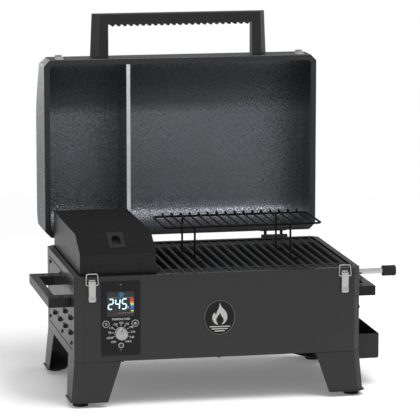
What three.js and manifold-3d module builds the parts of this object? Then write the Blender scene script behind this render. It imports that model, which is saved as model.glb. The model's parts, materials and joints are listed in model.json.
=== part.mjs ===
// Portable pellet smoker grill, in millimetres, +Z up.
// The origin is the centre of the housing's flat underside. +X is the right-hand side of the grill and
// -Y is its front. The grill is drawn with its lid open a quarter turn, its latches down and its grates in.
import * as THREE from 'three';
import { mergeVertices } from 'three/addons/utils/BufferGeometryUtils.js';
import Module from 'manifold-3d';

const wasm = await Module();
wasm.setup();

// Housing
const HALF_W = 290;
const HALF_D = 187;
const BODY_H = 171;
const CORNER = 13;
const SHEET = 1.5;
const RIM = 12;
const PAD_R = 25;
const GAP = 0.3;
const INSIDE_X = HALF_W - SHEET;
const INSIDE_Y = HALF_D - SHEET;

// Legs and feet
const LEG_H = 81;
const LEG_SHEET = 2;
const FOOT_R = 15.5;
const FOOT_H = 10;
const FOOT_X = 277;
const FOOT_Y = 166;

// Lid and its hinge
const LID_BASE = BODY_H + 0.4;
const LID_H = 121;
const HINGE_Y = 199.5;
const HINGE_Z = 170;
const HINGE_X = 200;
const HINGE_HALF = 28;
const KNUCKLE_HALF = 13.6;
const EAR_X = 17.4;
const DIVIDER_X = -112.7;

// Lid handle, measured with the lid shut
const GRIP_OUT = 91.5;
const GRIP_DEPTH = 21.5;
const GRIP_Z0 = 180.5;
const GRIP_Z1 = 206.5;
const GRIP_INNER = 152.7;
const TOOTH_COUNT = 23;
const TOOTH_PITCH = 13;
const TOOTH_H = 4.4;

// Latches
const LATCH_X = 256;
const PIVOT_Y = -191.5;
const PIVOT_Z = 161.5;
const BAIL_Y = -191.7;
const BAIL_Z = 155.7;
const BAIL_TOP_Y = -190.3;
const BAIL_TOP_Z = 177.7;
const BAIL_R = 1.1;

// Control panel
const PANEL = { x0: -237.5, x1: -160, z0: 12.5, z1: 161, t: 2 };
const WINDOW = { x0: -227, x1: -171, z0: 90.4, z1: 141 };
const DIAL = { x: -198.6, z: 57, r: 13.4, tall: 14.6 };
const JACK_Z = 32.6;
const BUTTONS = { left: -228.3, right: -170, z: 76.2, r: 6 };
const PANEL_BACK = -HALF_D - GAP;

// Hopper
const HOPPER = { x0: -276, x1: -123, y0: -165, y1: 170, zFold: 215.2, yFold: -107.2, zTop: 246 };
const HOPPER_AXIS = { y: 101.5, z: 245.1 };
const HOPPER_KNUCKLES = [[-257, -231], [-163, -133]];
const PULL = { x: -197.5, y: -131, w: 33, h: 50, cupW: 17, cupH: 27 };
const THROAT = { x0: -222, x1: -168, half: 22, z: 70 };

// Burn system
const AUGER_Z = 45;
const TUBE_R = 24;
const WALL_X = -119;
const POT_X = 80;
const FAN = { y: 95, z: 45, x0: -146, x1: -121, half: 35 };
const PROBE = { y: -120, z: 140 };
const IGNITER_Z = 14;

// Flame broiler, grates and rack
const BROILER_Z = 112.6;
const ROD = { y: -30, z: 132, r: 5.5, x0: 136.3, x1: 391 };
const ROD_KNOB = { x0: 375.8, x1: 403.4, r: 10.9 };
const GRATE = { x0: -113, x1: 277, half: 172, z0: 158, z1: 170, corner: 9, tie: 128 };
const GRATE_BARS = { first: -104.5, pitch: 19.6, count: 20, width: 7 };
const RACK = { z: 242, y0: -62, y1: 74, x0: -82, x1: 232, legs: [-24, 174], r: 2.2 };
const RACK_WIRES = { first: -65, pitch: 18.9, count: 16 };

// Grease tray and side handles
const TRAY = { x0: 295.8, x1: 353, half: 94, z0: -37, z1: 14.5, corner: 4 };
const HANDLE = { out: 334.5, half: 134, arm: 34, bar: 15.5, z0: 102, z1: 121.5 };

// ---- solids ----

function solid(geometry) {
  const bare = geometry.index ? geometry.toNonIndexed() : geometry.clone();
  bare.deleteAttribute('normal');
  bare.deleteAttribute('uv');
  const merged = mergeVertices(bare, 1e-4);
  const vertProperties = new Float32Array(merged.attributes.position.array);
  const triVerts = new Uint32Array(merged.index.array);
  return new wasm.Manifold(new wasm.Mesh({ numProp: 3, vertProperties, triVerts }));
}

function toGeometry(body) {
  const mesh = body.getMesh();
  const geometry = new THREE.BufferGeometry();
  const points = new Float32Array(mesh.numVert * 3);
  for (let i = 0; i < mesh.numVert; i += 1) {
    for (let k = 0; k < 3; k += 1) {
      points[3 * i + k] = mesh.vertProperties[mesh.numProp * i + k];
    }
  }
  geometry.setAttribute('position', new THREE.BufferAttribute(points, 3));
  geometry.setIndex(new THREE.BufferAttribute(new Uint32Array(mesh.triVerts), 1));
  return geometry;
}

function join(...bodies) {
  return bodies.reduce((whole, body) => whole.add(body));
}

function cut(body, ...tools) {
  return tools.reduce((whole, tool) => whole.subtract(tool), body);
}

function box(x0, x1, y0, y1, z0, z1) {
  const geometry = new THREE.BoxGeometry(x1 - x0, y1 - y0, z1 - z0);
  geometry.translate((x0 + x1) / 2, (y0 + y1) / 2, (z0 + z1) / 2);
  return solid(geometry);
}

// A prism on an outline. Along z the outline is (x, y), along x it is (y, z) and along y it is (x, z).
function prism(points, axis, from, to) {
  const shape = new THREE.Shape(points.map(([u, v]) => new THREE.Vector2(u, v)));
  const geometry = new THREE.ExtrudeGeometry(shape, { depth: to - from, bevelEnabled: false });
  const turn = new THREE.Matrix4();
  if (axis === 'x') {
    turn.set(0, 0, 1, from, 1, 0, 0, 0, 0, 1, 0, 0, 0, 0, 0, 1);
  } else if (axis === 'y') {
    turn.set(1, 0, 0, 0, 0, 0, -1, to, 0, 1, 0, 0, 0, 0, 0, 1);
  } else {
    turn.makeTranslation(0, 0, from);
  }
  geometry.applyMatrix4(turn);
  return solid(geometry);
}

// A round bar from point a to point b
function rod(a, b, r, sides = 16, r2 = r) {
  const start = new THREE.Vector3(...a);
  const end = new THREE.Vector3(...b);
  const way = end.clone().sub(start);
  const geometry = new THREE.CylinderGeometry(r2, r, way.length(), sides);
  const turn = new THREE.Quaternion().setFromUnitVectors(new THREE.Vector3(0, 1, 0), way.normalize());
  geometry.applyQuaternion(turn);
  const middle = start.add(end).multiplyScalar(0.5);
  geometry.translate(middle.x, middle.y, middle.z);
  return solid(geometry);
}

// A bent wire through points, with a ball at each bend
function wire(points, r, sides = 8) {
  const pieces = points.slice(1).map((point, i) => rod(points[i], point, r, sides));
  for (const point of points.slice(1, -1)) {
    const ball = new THREE.IcosahedronGeometry(r * 1.12, 0);
    ball.translate(...point);
    pieces.push(solid(ball));
  }
  return join(...pieces);
}

// A body of revolution about Z, moved to x, y. The profile starts and ends on the axis.
function turned(profile, x, y, sides = 24) {
  const geometry = new THREE.LatheGeometry(profile.map(([r, z]) => new THREE.Vector2(r, z)), sides);
  geometry.rotateX(Math.PI / 2);
  geometry.translate(x, y, 0);
  return solid(geometry);
}

// A body of revolution about a line along -Y through x, z. The profile is (radius, distance in front).
function turnedForward(profile, x, y, z, sides = 24) {
  const geometry = new THREE.LatheGeometry(profile.map(([r, h]) => new THREE.Vector2(r, h)), sides);
  geometry.rotateX(Math.PI);
  geometry.translate(x, y, z);
  return solid(geometry);
}

// A closed body between two outlines with the same number of points, at heights z0 and z1
function loft(low, z0, high, z1, place = null) {
  const n = low.length;
  const ring = (points, z) => points.map(([x, y]) => new THREE.Vector3(x, y, z));
  const vertices = [...ring(low, z0), ...ring(high, z1)];
  const area = THREE.ShapeUtils.area(low.map(([x, y]) => new THREE.Vector2(x, y)));
  const caps = THREE.ShapeUtils.triangulateShape(low.map(([x, y]) => new THREE.Vector2(x, y)), []);
  const faces = [];
  for (let i = 0; i < n; i += 1) {
    const j = (i + 1) % n;
    faces.push([i, j, n + j], [i, n + j, n + i]);
  }
  for (const [a, b, c] of caps) {
    const same = cross2(low[a], low[b], low[c]) * area > 0;
    const [p, q] = same ? [b, c] : [c, b];
    faces.push([a, q, p], [n + a, n + p, n + q]);
  }
  const order = area > 0 ? faces : faces.map(([a, b, c]) => [a, c, b]);
  const geometry = new THREE.BufferGeometry().setFromPoints(vertices);
  geometry.setIndex(order.flat());
  if (place) {
    geometry.applyMatrix4(place);
  }
  return solid(geometry);
}

function cross2([ax, ay], [bx, by], [cx, cy]) {
  return (bx - ax) * (cy - ay) - (by - ay) * (cx - ax);
}

// The outline of a rectangle whose corners are cut off
function plan(halfX, halfY, corner) {
  return [
    [halfX - corner, -halfY], [halfX, corner - halfY], [halfX, halfY - corner], [halfX - corner, halfY],
    [corner - halfX, halfY], [-halfX, halfY - corner], [-halfX, corner - halfY], [corner - halfX, -halfY],
  ];
}

// A convex outline moved inwards by t
function inset(points, t) {
  const turn = Math.sign(THREE.ShapeUtils.area(points.map(([x, y]) => new THREE.Vector2(x, y))));
  const edges = points.map(([x, y], i) => {
    const [u, v] = points[(i + 1) % points.length];
    const length = Math.hypot(u - x, v - y);
    const [dx, dy] = [(u - x) / length, (v - y) / length];
    return { x: x - dy * t * turn, y: y + dx * t * turn, dx, dy };
  });
  return edges.map((edge, i) => {
    const last = edges[(i + edges.length - 1) % edges.length];
    const k = ((edge.x - last.x) * edge.dy - (edge.y - last.y) * edge.dx)
      / (last.dx * edge.dy - last.dy * edge.dx);
    return [last.x + k * last.dx, last.y + k * last.dy];
  });
}

function arc(cx, cy, rx, ry, from, to, steps) {
  return Array.from({ length: steps + 1 }, (_, i) => {
    const angle = THREE.MathUtils.degToRad(from + (to - from) * i / steps);
    return [cx + rx * Math.cos(angle), cy + ry * Math.sin(angle)];
  });
}

function frameBox(outer, inner, x0, x1) {
  const [y0, y1, z0, z1] = outer;
  const [a0, a1, b0, b1] = inner;
  return cut(box(x0, x1, y0, y1, z0, z1), box(x0 - 1, x1 + 1, a0, a1, b0, b1));
}

function range(count) {
  return Array.from({ length: count }, (_, i) => i);
}

// ---- materials and the scene graph ----

function finish(colour, roughness, metalness) {
  return new THREE.MeshStandardMaterial({ color: colour, roughness, metalness });
}

const COAT = finish(0x3c3c3e, 0.6, 0.2);
const SATIN_BLACK = finish(0x262626, 0.5, 0.2);
const HAMMERTONE = finish(0x4a5058, 0.45, 0.4);
const PANEL_BLACK = finish(0x17171a, 0.5, 0.0);
const STAINLESS = finish(0xc9c8c4, 0.25, 1.0);
const STEEL = finish(0x8c8c8a, 0.45, 0.8);
const ALUMINISED = finish(0x77787a, 0.5, 0.7);
const ENAMEL = finish(0x161616, 0.35, 0.1);
const RUBBER = finish(0x141414, 0.9, 0.0);
const PLASTIC = finish(0x1c1c1e, 0.55, 0.0);
const TRIM = finish(0xc4c4c8, 0.6, 0.0);
const GLASS = finish(0x101318, 0.1, 0.0);

const grill = new THREE.Group();
const lid = new THREE.Group();
lid.position.set(0, HINGE_Y, HINGE_Z);
lid.rotation.x = -Math.PI / 2;
grill.add(lid);

function piece(name, body, material, parent = grill) {
  const geometry = toGeometry(body);
  if (parent === lid) {
    geometry.translate(0, -HINGE_Y, -HINGE_Z);
  }
  geometry.computeVertexNormals();
  const mesh = new THREE.Mesh(geometry, material);
  mesh.name = name;
  parent.add(mesh);
}

const SIDES = [['left', -1], ['right', 1]];

// ---- housing, legs, handles ----

const VENT = { y0: -146, y1: 149, z0: 20, z1: 154 };

function ventFrame() {
  const outer = [VENT.y0 - 10, VENT.y1 + 10, VENT.z0 - 10, VENT.z1 + 10];
  const inner = [VENT.y0 + 8, VENT.y1 - 8, VENT.z0 + 8, VENT.z1 - 8];
  return frameBox(outer, inner, -INSIDE_X - 0.1, -INSIDE_X + SHEET);
}

function supportLedges() {
  const ledges = [];
  for (const side of [-1, 1]) {
    for (const [top, inner] of [[GRATE.z0 - GAP, 166], [BROILER_Z - GAP, 165]]) {
      const [y0, y1] = [side * inner, side * (INSIDE_Y + 0.5)].sort((a, b) => a - b);
      ledges.push(box(-112, 284, y0, y1, top - SHEET, top));
    }
  }
  return join(...ledges);
}

// A hook strip on the right wall that holds the grease tray
function trayHanger() {
  const foot = box(HALF_W - 0.2, HALF_W + 4.4, -45, 45, 2, 3.5);
  return join(foot, box(HALF_W + 2.9, HALF_W + 4.4, -45, 45, 2, 14));
}

function housingOpenings() {
  const exhaust = range(8).map((i) => box(INSIDE_X - 1, HALF_W + 1, -150 + 12 * i, -144 + 12 * i, 128, 148));
  const intake = range(6).map((i) => box(-262 + 20 * i, -254 + 20 * i, -50, 50, -1, SHEET + 1));
  return join(
    box(-HALF_W - 1, -INSIDE_X + 0.05, VENT.y0 - 0.4, VENT.y1 + 0.4, VENT.z0 - 0.4, VENT.z1 + 0.4),
    box(PANEL.x0 + 2, PANEL.x1 - 2, -HALF_D - 1, -INSIDE_Y + 1, PANEL.z0 + 3.5, PANEL.z1 - 4),
    box(-262, -232, INSIDE_Y - 1, HALF_D + 1, 40, 62),
    box(INSIDE_X - 1, HALF_W + 1, -24, 24, 98, BROILER_Z + 2),
    rod([INSIDE_X - 1, ROD.y, ROD.z], [HALF_W + 1, ROD.y, ROD.z], ROD.r + 0.7),
    ...exhaust,
    ...intake,
  );
}

// A shallow pressed ring that marks off a flat pad in the middle of the underside
function padRing() {
  const disc = (r, z0, z1) => rod([0, 0, z0], [0, 0, z1], r);
  return cut(disc(PAD_R + 2.5, -1, 0.5), disc(PAD_R, -2, 1));
}

function housing() {
  const outline = plan(HALF_W, HALF_D, CORNER);
  const outer = prism(outline, 'z', 0, BODY_H);
  const inner = prism(inset(outline, SHEET), 'z', SHEET, BODY_H - SHEET);
  const mouth = prism(inset(outline, RIM), 'z', BODY_H - SHEET - 1, BODY_H + 1);
  const shell = cut(outer, inner, mouth, housingOpenings(), padRing());
  return join(shell, ventFrame(), supportLedges(), trayHanger());
}

function dividerWall() {
  const [low, high] = [SHEET + GAP, BODY_H - SHEET - GAP];
  const sheet = box(WALL_X, WALL_X + SHEET, -INSIDE_Y + GAP, INSIDE_Y - GAP, low, high);
  const flange = (y0, y1) => box(WALL_X - 10, WALL_X + 0.5, y0, y1, low, high);
  const hole = (y, z, r) => rod([WALL_X - 2, y, z], [WALL_X + 4, y, z], r);
  const wall = join(
    sheet,
    flange(-INSIDE_Y + GAP, -INSIDE_Y + GAP + SHEET),
    flange(INSIDE_Y - GAP - SHEET, INSIDE_Y - GAP),
  );
  return cut(
    wall,
    hole(0, AUGER_Z, TUBE_R + 0.5),
    hole(FAN.y, FAN.z, 27),
    hole(PROBE.y, PROBE.z, 3.5),
    hole(0, IGNITER_Z, 4.5),
  );
}

// A folded sheet leg: an outer face each way, joined by a cut corner, that spreads towards the ground
function leg(sx, sy) {
  const mirror = (points) => points.map(([x, y]) => [sx * x, sy * y]);
  const face = (x0, x1, x2, y0, y1, y2) => {
    const k = LEG_SHEET * 0.415;
    const outer = [[x0, y2], [x1, y2], [x2, y1], [x2, y0]];
    const s = LEG_SHEET;
    const back = [[x2 - s, y0], [x2 - s, y1 - k], [x1 - k, y2 - s], [x0, y2 - s]];
    return mirror([...outer, ...back]);
  };
  const top = face(198, 277, 290, 96, 174, 187);
  const bottom = face(225, 284, 297, 120, 179, 192);
  const sheet = loft(bottom, 0.4 - LEG_H, top, -GAP);
  const flange = mirror([
    [198, 186.5], [276.8, 186.5], [289.5, 173.8], [289.5, 96], [272, 96], [272, 168], [198, 168],
  ]);
  const sole = mirror([[225, 195], [287, 195], [300.5, 181.5], [300.5, 120], [264, 120], [242, 165]]);
  return join(
    sheet,
    prism(flange, 'z', -GAP - LEG_SHEET, -GAP),
    prism(sole, 'z', -LEG_H, LEG_SHEET - LEG_H),
  );
}

function foot(sx, sy) {
  const base = -LEG_H - FOOT_H;
  const top = -LEG_H - GAP;
  const profile = [
    [0, base], [FOOT_R - 1.5, base], [FOOT_R, base + 1.5], [FOOT_R, top - 3], [FOOT_R - 2.5, top], [0, top],
  ];
  return turned(profile, sx * FOOT_X, sy * FOOT_Y, 16);
}

// A carrying handle folded from sheet: a downward channel that runs out, along and back
function sideHandle(side) {
  const outline = (x0, out, half, bar, arm) => [
    [side * x0, -half], [side * out, -half], [side * out, half], [side * x0, half],
    [side * x0, arm], [side * bar, arm], [side * bar, -arm], [side * x0, -arm],
  ];
  const bar = HANDLE.out - HANDLE.bar;
  const arm = HANDLE.half - HANDLE.arm;
  const skin = prism(outline(HALF_W + GAP, HANDLE.out, HANDLE.half, bar, arm), 'z', HANDLE.z0, HANDLE.z1);
  const s = SHEET;
  const hollow = outline(HALF_W + GAP + s, HANDLE.out - s, HANDLE.half - s, bar + s, arm + s);
  return cut(skin, prism(hollow, 'z', HANDLE.z0 - 1, HANDLE.z1 - s));
}

// One pressed air scoop: a half cone that opens to the front
function scoop(y, z, reach, half, back, depth) {
  const tip = new THREE.Vector3(-HALF_W + depth, y + back, z);
  const mouth = (x, w) => new THREE.Vector3(x - HALF_W, y - 18, z + w);
  const rim = arc(0, 0, reach, half, 90, 270, 6).map(([x, w]) => mouth(x, w));
  const ring = [mouth(depth, half), ...rim, mouth(depth, -half)];
  const vertices = [tip, ...ring];
  const faces = [];
  for (let i = 1; i <= ring.length; i += 1) {
    faces.push([0, i % ring.length + 1, i]);
  }
  for (let i = 2; i < ring.length; i += 1) {
    faces.push([1, i, i + 1]);
  }
  const geometry = new THREE.BufferGeometry().setFromPoints(vertices);
  geometry.setIndex(faces.flat());
  return solid(geometry);
}

function ventPanel() {
  let panel = box(-HALF_W, -INSIDE_X - 0.4, VENT.y0, VENT.y1, VENT.z0, VENT.z1);
  for (const z of [50, 80]) {
    for (const y of range(4).map((i) => -118 + 68 * i)) {
      const hollow = scoop(y - 1, z, 5.1, 4.2, 16, 3);
      panel = cut(panel.add(scoop(y, z, 6.3, 5.4, 18, 0.5)), hollow);
    }
  }
  return panel;
}

function powerInlet() {
  const body = join(
    box(-261.6, -232.4, 170, 188, 40.4, 61.6),
    box(-268, -226, HALF_D + GAP, HALF_D + 2.5, 34, 68),
  );
  return cut(body, box(-257, -237, 174, 200, 44.5, 57.5));
}

piece('housing', housing(), COAT);
piece('divider_wall', dividerWall(), ALUMINISED);
for (const [row, sy] of [['front', -1], ['rear', 1]]) {
  for (const [side, sx] of SIDES) {
    piece(`leg_${row}_${side}`, leg(sx, sy), COAT);
    piece(`foot_${row}_${side}`, foot(sx, sy), RUBBER);
  }
}
for (const [side, sx] of SIDES) {
  piece(`side_handle_${side}`, sideHandle(sx), SATIN_BLACK);
}
piece('vent_panel', ventPanel(), COAT);
piece('power_inlet', powerInlet(), PLASTIC);

// ---- lid, drawn shut and turned open by its group ----

// The lid's section, from the rear edge over the top to the front edge
const LID_SECTION = [
  [374, 0], [374, 60], [371, 66], [362, 71], [347, 78], [333, 86], [318, 94.5], [300, 104], [282, 111.5],
  [262, 118], [244, LID_H], [50, LID_H], [31, 118.5], [15, 108.5], [5, 96], [0, 84], [0, 0],
].map(([s, h]) => [HALF_D - s, LID_BASE + h]);

function lidShell() {
  const outline = plan(HALF_W, HALF_D, CORNER);
  const high = LID_BASE + LID_H + 1;
  const outer = prism(LID_SECTION, 'x', -HALF_W, HALF_W).intersect(prism(outline, 'z', LID_BASE - 1, high));
  const inner = prism(inset(LID_SECTION, SHEET), 'x', -INSIDE_X, INSIDE_X)
    .intersect(prism(inset(outline, SHEET), 'z', LID_BASE - 1, high));
  return cut(outer, inner, prism(inset(outline, RIM), 'z', LID_BASE - 1, LID_BASE + SHEET + 1));
}

function lidDivider() {
  const sheet = prism(inset(LID_SECTION, SHEET + 0.4), 'x', DIVIDER_X - 0.7, DIVIDER_X + 0.7);
  return cut(sheet, box(-200, 0, -HALF_D, HALF_D, LID_BASE - 5, LID_BASE + 3));
}

function dividerTrim() {
  return box(DIVIDER_X - 3.8, DIVIDER_X + 4, -174.5, 174.5, LID_BASE + 0.4, LID_BASE + 2.5);
}

// One upright of the lid handle, from the lid's front face out to the grip, with a bevelled outer side
function gripUpright(side) {
  const section = (inner, low, high) => [[inner, GRIP_Z0], [low, GRIP_Z0], [high, GRIP_Z1], [inner, GRIP_Z1]]
    .map(([x, z]) => [side * x, z]);
  const forward = new THREE.Matrix4().makeBasis(
    new THREE.Vector3(1, 0, 0), new THREE.Vector3(0, 0, 1), new THREE.Vector3(0, -1, 0),
  );
  const base = section(GRIP_INNER, 173, 188);
  const end = section(GRIP_INNER, 170, 184);
  return loft(base, HALF_D + GAP, end, HALF_D + GRIP_OUT, forward);
}

// The grip, whose inner edge has rounded teeth that face the lid
function gripBar() {
  const front = -HALF_D - GRIP_OUT;
  const back = front + GRIP_DEPTH;
  const outline = [[-169, front], [169, front], [169, back]];
  for (let i = TOOTH_COUNT - 1; i >= 0; i -= 1) {
    const x = (i - (TOOTH_COUNT - 1) / 2) * TOOTH_PITCH;
    outline.push(...arc(x, back, TOOTH_PITCH * 0.33, TOOTH_H, 0, 180, 4));
  }
  outline.push([-169, back]);
  return prism(outline, 'z', GRIP_Z0, GRIP_Z1);
}

// The hook on the lid that a bail pulls on: a plate with an upturned lip, bent out again at its far end
function strike(x) {
  const y = -HALF_D - GAP;
  return join(
    box(x - 7.5, x + 7.5, y - 1, y, 173, 195),
    box(x - 7.5, x + 7.5, y - 7.5, y - 0.5, 194, 195),
    box(x - 7.5, x + 7.5, y - 5.6, y - 0.5, 174.4, 175.6),
    box(x - 7.5, x + 7.5, y - 5.6, y - 4.6, 174.4, 180),
  );
}

piece('lid_shell', lidShell(), HAMMERTONE, lid);
piece('lid_divider', lidDivider(), HAMMERTONE, lid);
piece('divider_trim', dividerTrim(), TRIM, lid);
piece('lid_handle', join(gripUpright(-1), gripBar(), gripUpright(1)), SATIN_BLACK, lid);
for (const [side, sx] of SIDES) {
  piece(`strike_${side}`, strike(sx * LATCH_X), STAINLESS, lid);
}

// ---- hinges ----

const KNUCKLE_R = 5;
const PIN_R = 2.8;
const BORE_R = 3.1;

function alongX(x0, x1, y, z, r, sides = 16) {
  return rod([x0, y, z], [x1, y, z], r, sides);
}

// The cabinet's leaf carries the middle knuckle of a hinge
function bodyLeaf(side) {
  const x = side * HINGE_X;
  const [x0, x1] = [x - HINGE_HALF, x + HINGE_HALF];
  const leaf = join(
    box(x0, x1, HALF_D + GAP, HALF_D + 2.3, 128, 160),
    box(x0, x1, HALF_D + 1, HINGE_Y, 156, 160),
    box(x - KNUCKLE_HALF, x + KNUCKLE_HALF, HINGE_Y - 5, HINGE_Y, 158, HINGE_Z),
    alongX(x - KNUCKLE_HALF, x + KNUCKLE_HALF, HINGE_Y, HINGE_Z, KNUCKLE_R),
  );
  return cut(leaf, alongX(x0 - 1, x1 + 1, HINGE_Y, HINGE_Z, BORE_R));
}

// The lid's leaf carries a knuckle at each end, on an ear, so daylight shows between them
function lidLeaf(side) {
  const x = side * HINGE_X;
  const clear = KNUCKLE_HALF + GAP;
  const ends = [[x - HINGE_HALF, x - clear], [x + clear, x + HINGE_HALF]];
  const knuckles = ends.map(([a, b]) => alongX(a, b, HINGE_Y, HINGE_Z, KNUCKLE_R));
  const ears = [-EAR_X, EAR_X].flatMap((dx) => [
    box(x + dx - 3, x + dx + 3, HALF_D + 1, HINGE_Y, 179, 182),
    box(x + dx - 3, x + dx + 3, HINGE_Y - 4.5, HINGE_Y, HINGE_Z, 180),
  ]);
  const plate = box(x - HINGE_HALF, x + HINGE_HALF, HALF_D + GAP, HALF_D + 2.3, 180, 212);
  return cut(join(plate, ...ears, ...knuckles), alongX(x - 40, x + 40, HINGE_Y, HINGE_Z, BORE_R));
}

for (const [side, sx] of SIDES) {
  piece(`hinge_body_leaf_${side}`, bodyLeaf(sx), SATIN_BLACK);
  piece(`hinge_lid_leaf_${side}`, lidLeaf(sx), SATIN_BLACK, lid);
  const x = sx * HINGE_X;
  piece(`hinge_pin_${side}`, alongX(x - HINGE_HALF, x + HINGE_HALF, HINGE_Y, HINGE_Z, PIN_R), STEEL);
}

// ---- latches ----

function latchBase(x) {
  const y = -HALF_D - GAP;
  const ear = (a, b) => box(x + a, x + b, PIVOT_Y - 2, y - 0.2, PIVOT_Z - 3, PIVOT_Z + 3);
  return join(
    box(x - 9.6, x + 9.6, y - 1, y, 118, 166),
    ear(-9.6, -8.4),
    ear(8.4, 9.6),
    alongX(x - 9, x + 9, PIVOT_Y, PIVOT_Z, 1.2, 12),
  );
}

function latchLever(x) {
  const flange = (a, b) => box(x + a, x + b, PIVOT_Y - 2.6, PIVOT_Y + 1.6, 151, PIVOT_Z + 1.4);
  const body = join(
    box(x - 8, x + 8, PIVOT_Y - 3.4, PIVOT_Y - 2.2, 122, PIVOT_Z + 1.2),
    box(x - 8, x + 8, PIVOT_Y - 3.4, PIVOT_Y - 0.4, 120.5, 122.2),
    flange(-8, -6.8),
    flange(6.8, 8),
  );
  return cut(
    body,
    alongX(x - 12, x + 12, PIVOT_Y, PIVOT_Z, 1.45, 12),
    alongX(x - 12, x + 12, BAIL_Y, BAIL_Z, 1.4, 12),
  );
}

function latchBail(x) {
  const low = (dx) => [x + dx, BAIL_Y, BAIL_Z];
  const high = (dx) => [x + dx, BAIL_TOP_Y, BAIL_TOP_Z];
  return wire([low(-6.4), low(-12.4), high(-11.2), high(11.2), low(12.4), low(6.4)], BAIL_R, 8);
}

for (const [side, sx] of SIDES) {
  piece(`latch_base_${side}`, latchBase(sx * LATCH_X), STAINLESS);
  piece(`latch_lever_${side}`, latchLever(sx * LATCH_X), STAINLESS);
  piece(`latch_bail_${side}`, latchBail(sx * LATCH_X), STAINLESS);
}

// ---- control panel and badge ----

function hole(x, z, r) {
  return rod([x, -HALF_D - 10, z], [x, -HALF_D + 10, z], r, 16);
}

function controlPanel() {
  const front = PANEL_BACK - PANEL.t;
  const plate = box(PANEL.x0, PANEL.x1, front, PANEL_BACK, PANEL.z0, PANEL.z1);
  return cut(
    plate,
    box(WINDOW.x0, WINDOW.x1, front - 1, PANEL_BACK + 1, WINDOW.z0, WINDOW.z1),
    hole(BUTTONS.left, BUTTONS.z, BUTTONS.r + 0.5),
    hole(BUTTONS.right, BUTTONS.z, BUTTONS.r + 0.5),
    hole(DIAL.x, DIAL.z, 4),
    hole(DIAL.x, JACK_Z, 4.6),
  );
}

function displayWindow() {
  const front = PANEL_BACK - PANEL.t + 0.6;
  return box(WINDOW.x0 + GAP, WINDOW.x1 - GAP, front, -184, WINDOW.z0 + GAP, WINDOW.z1 - GAP);
}

function knob() {
  const { r, tall } = DIAL;
  const skirt = [
    [0, -5.4], [3, -5.4], [3, 0.4], [r, 0.4], [r, tall - 1.4], [r - 1.2, tall], [0, tall],
  ];
  const front = PANEL_BACK - PANEL.t;
  const body = turnedForward(skirt, DIAL.x, front, DIAL.z, 24);
  const face = front - tall;
  return body.add(box(DIAL.x - 0.9, DIAL.x + 0.9, face - 0.6, face + 1, DIAL.z + 2, DIAL.z + 10));
}

function button(x) {
  const profile = [
    [0, -4.6], [2.5, -4.6], [2.5, -2.6], [BUTTONS.r, -2.6], [BUTTONS.r, 0.7], [BUTTONS.r - 1, 1.2], [0, 1.2],
  ];
  return turnedForward(profile, x, PANEL_BACK - PANEL.t, BUTTONS.z, 16);
}

function probeJack() {
  const front = PANEL_BACK - PANEL.t;
  const profile = [
    [0, -4.5], [4.2, -4.5], [4.2, 0.3], [5.6, 0.3], [5.6, 1.6], [2.6, 1.6], [2.6, -3], [0, -3],
  ];
  return turnedForward(profile, DIAL.x, front, JACK_Z, 16);
}

function badgePlate() {
  const oval = (rx, ry) => arc(0.5, 81, rx, ry, 0, 360, 28).slice(0, -1);
  const y = PANEL_BACK;
  const ring = cut(prism(oval(31.5, 35.1), 'y', y - 3.2, y - 1), prism(oval(28.6, 32.2), 'y', y - 5, y));
  return prism(oval(31.5, 35.1), 'y', y - 1.8, y).add(ring);
}

piece('control_panel', controlPanel(), PANEL_BLACK);
piece('display_window', displayWindow(), GLASS);
piece('temperature_knob', knob(), STAINLESS);
piece('button_left', button(BUTTONS.left), PLASTIC);
piece('button_right', button(BUTTONS.right), PLASTIC);
piece('probe_jack', probeJack(), STAINLESS);
piece('controller_box', box(-230, -168, -183, -163, 22, 148), PLASTIC);
piece('badge_plate', badgePlate(), STAINLESS);

// ---- hopper ----

const KNUCKLE = { r: 2.3, bore: 1.25, pin: 1, end: 6.8 };

// The stretches of each hopper hinge that belong to the bin's strip, or to the lid between them
function hingeSpans(part) {
  return HOPPER_KNUCKLES.flatMap(([x0, x1]) => {
    const inner = [x0 + KNUCKLE.end + GAP, x1 - KNUCKLE.end - GAP];
    return part === 'lid' ? [inner] : [[x0, x0 + KNUCKLE.end], [x1 - KNUCKLE.end, x1]];
  });
}

function hopperRoll(x0, x1, r) {
  return alongX(x0, x1, HOPPER_AXIS.y, HOPPER_AXIS.z, r, 16);
}

function hopperNotch([x0, x1]) {
  return box(x0 - GAP, x1 + GAP, HOPPER_AXIS.y - 2.7, HOPPER_AXIS.y + 2.7, 240, 250);
}

function hopperBin() {
  const { x0, x1, y0, y1, zFold, yFold, zTop } = HOPPER;
  const under = 0.35 + SHEET;
  const stripY = HOPPER_AXIS.y + 1.3;
  const side = [
    [y0, 150], [y0, zFold - under - 0.25], [yFold + 0.6, zTop - under + 0.05], [stripY, zTop - under + 0.05],
    [stripY, zTop], [y1, zTop], [y1, 150],
  ];
  const { half } = THROAT;
  const funnelLow = [[THROAT.x0, -half], [THROAT.x1, -half], [THROAT.x1, half], [THROAT.x0, half]];
  const funnelHigh = [[x0, y0], [x1, y0], [x1, y1], [x0, y1]];
  const outside = prism(side, 'x', x0, x1).add(loft(funnelLow, THROAT.z, funnelHigh, 150));
  const s = SHEET;
  const hollow = join(
    box(x0 + s, x1 - s, y0 + s, stripY, 149.9, 260),
    box(x0 + s, x1 - s, stripY - 1, y1 - s, 149.9, zTop - s),
    loft(inset(funnelLow, s), THROAT.z - 1, inset(funnelHigh, s), 150),
    box(THROAT.x0 + s, THROAT.x1 - s, s - THROAT.half, THROAT.half - s, THROAT.z - 2, THROAT.z + 2),
  );
  const open = cut(outside, hollow, ...hingeSpans('lid').map(hopperNotch));
  const rolls = hingeSpans('bin').map(([a, b]) => hopperRoll(a, b, KNUCKLE.r));
  return cut(join(open, ...rolls), hopperRoll(x0, x1, KNUCKLE.bore));
}

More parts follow.
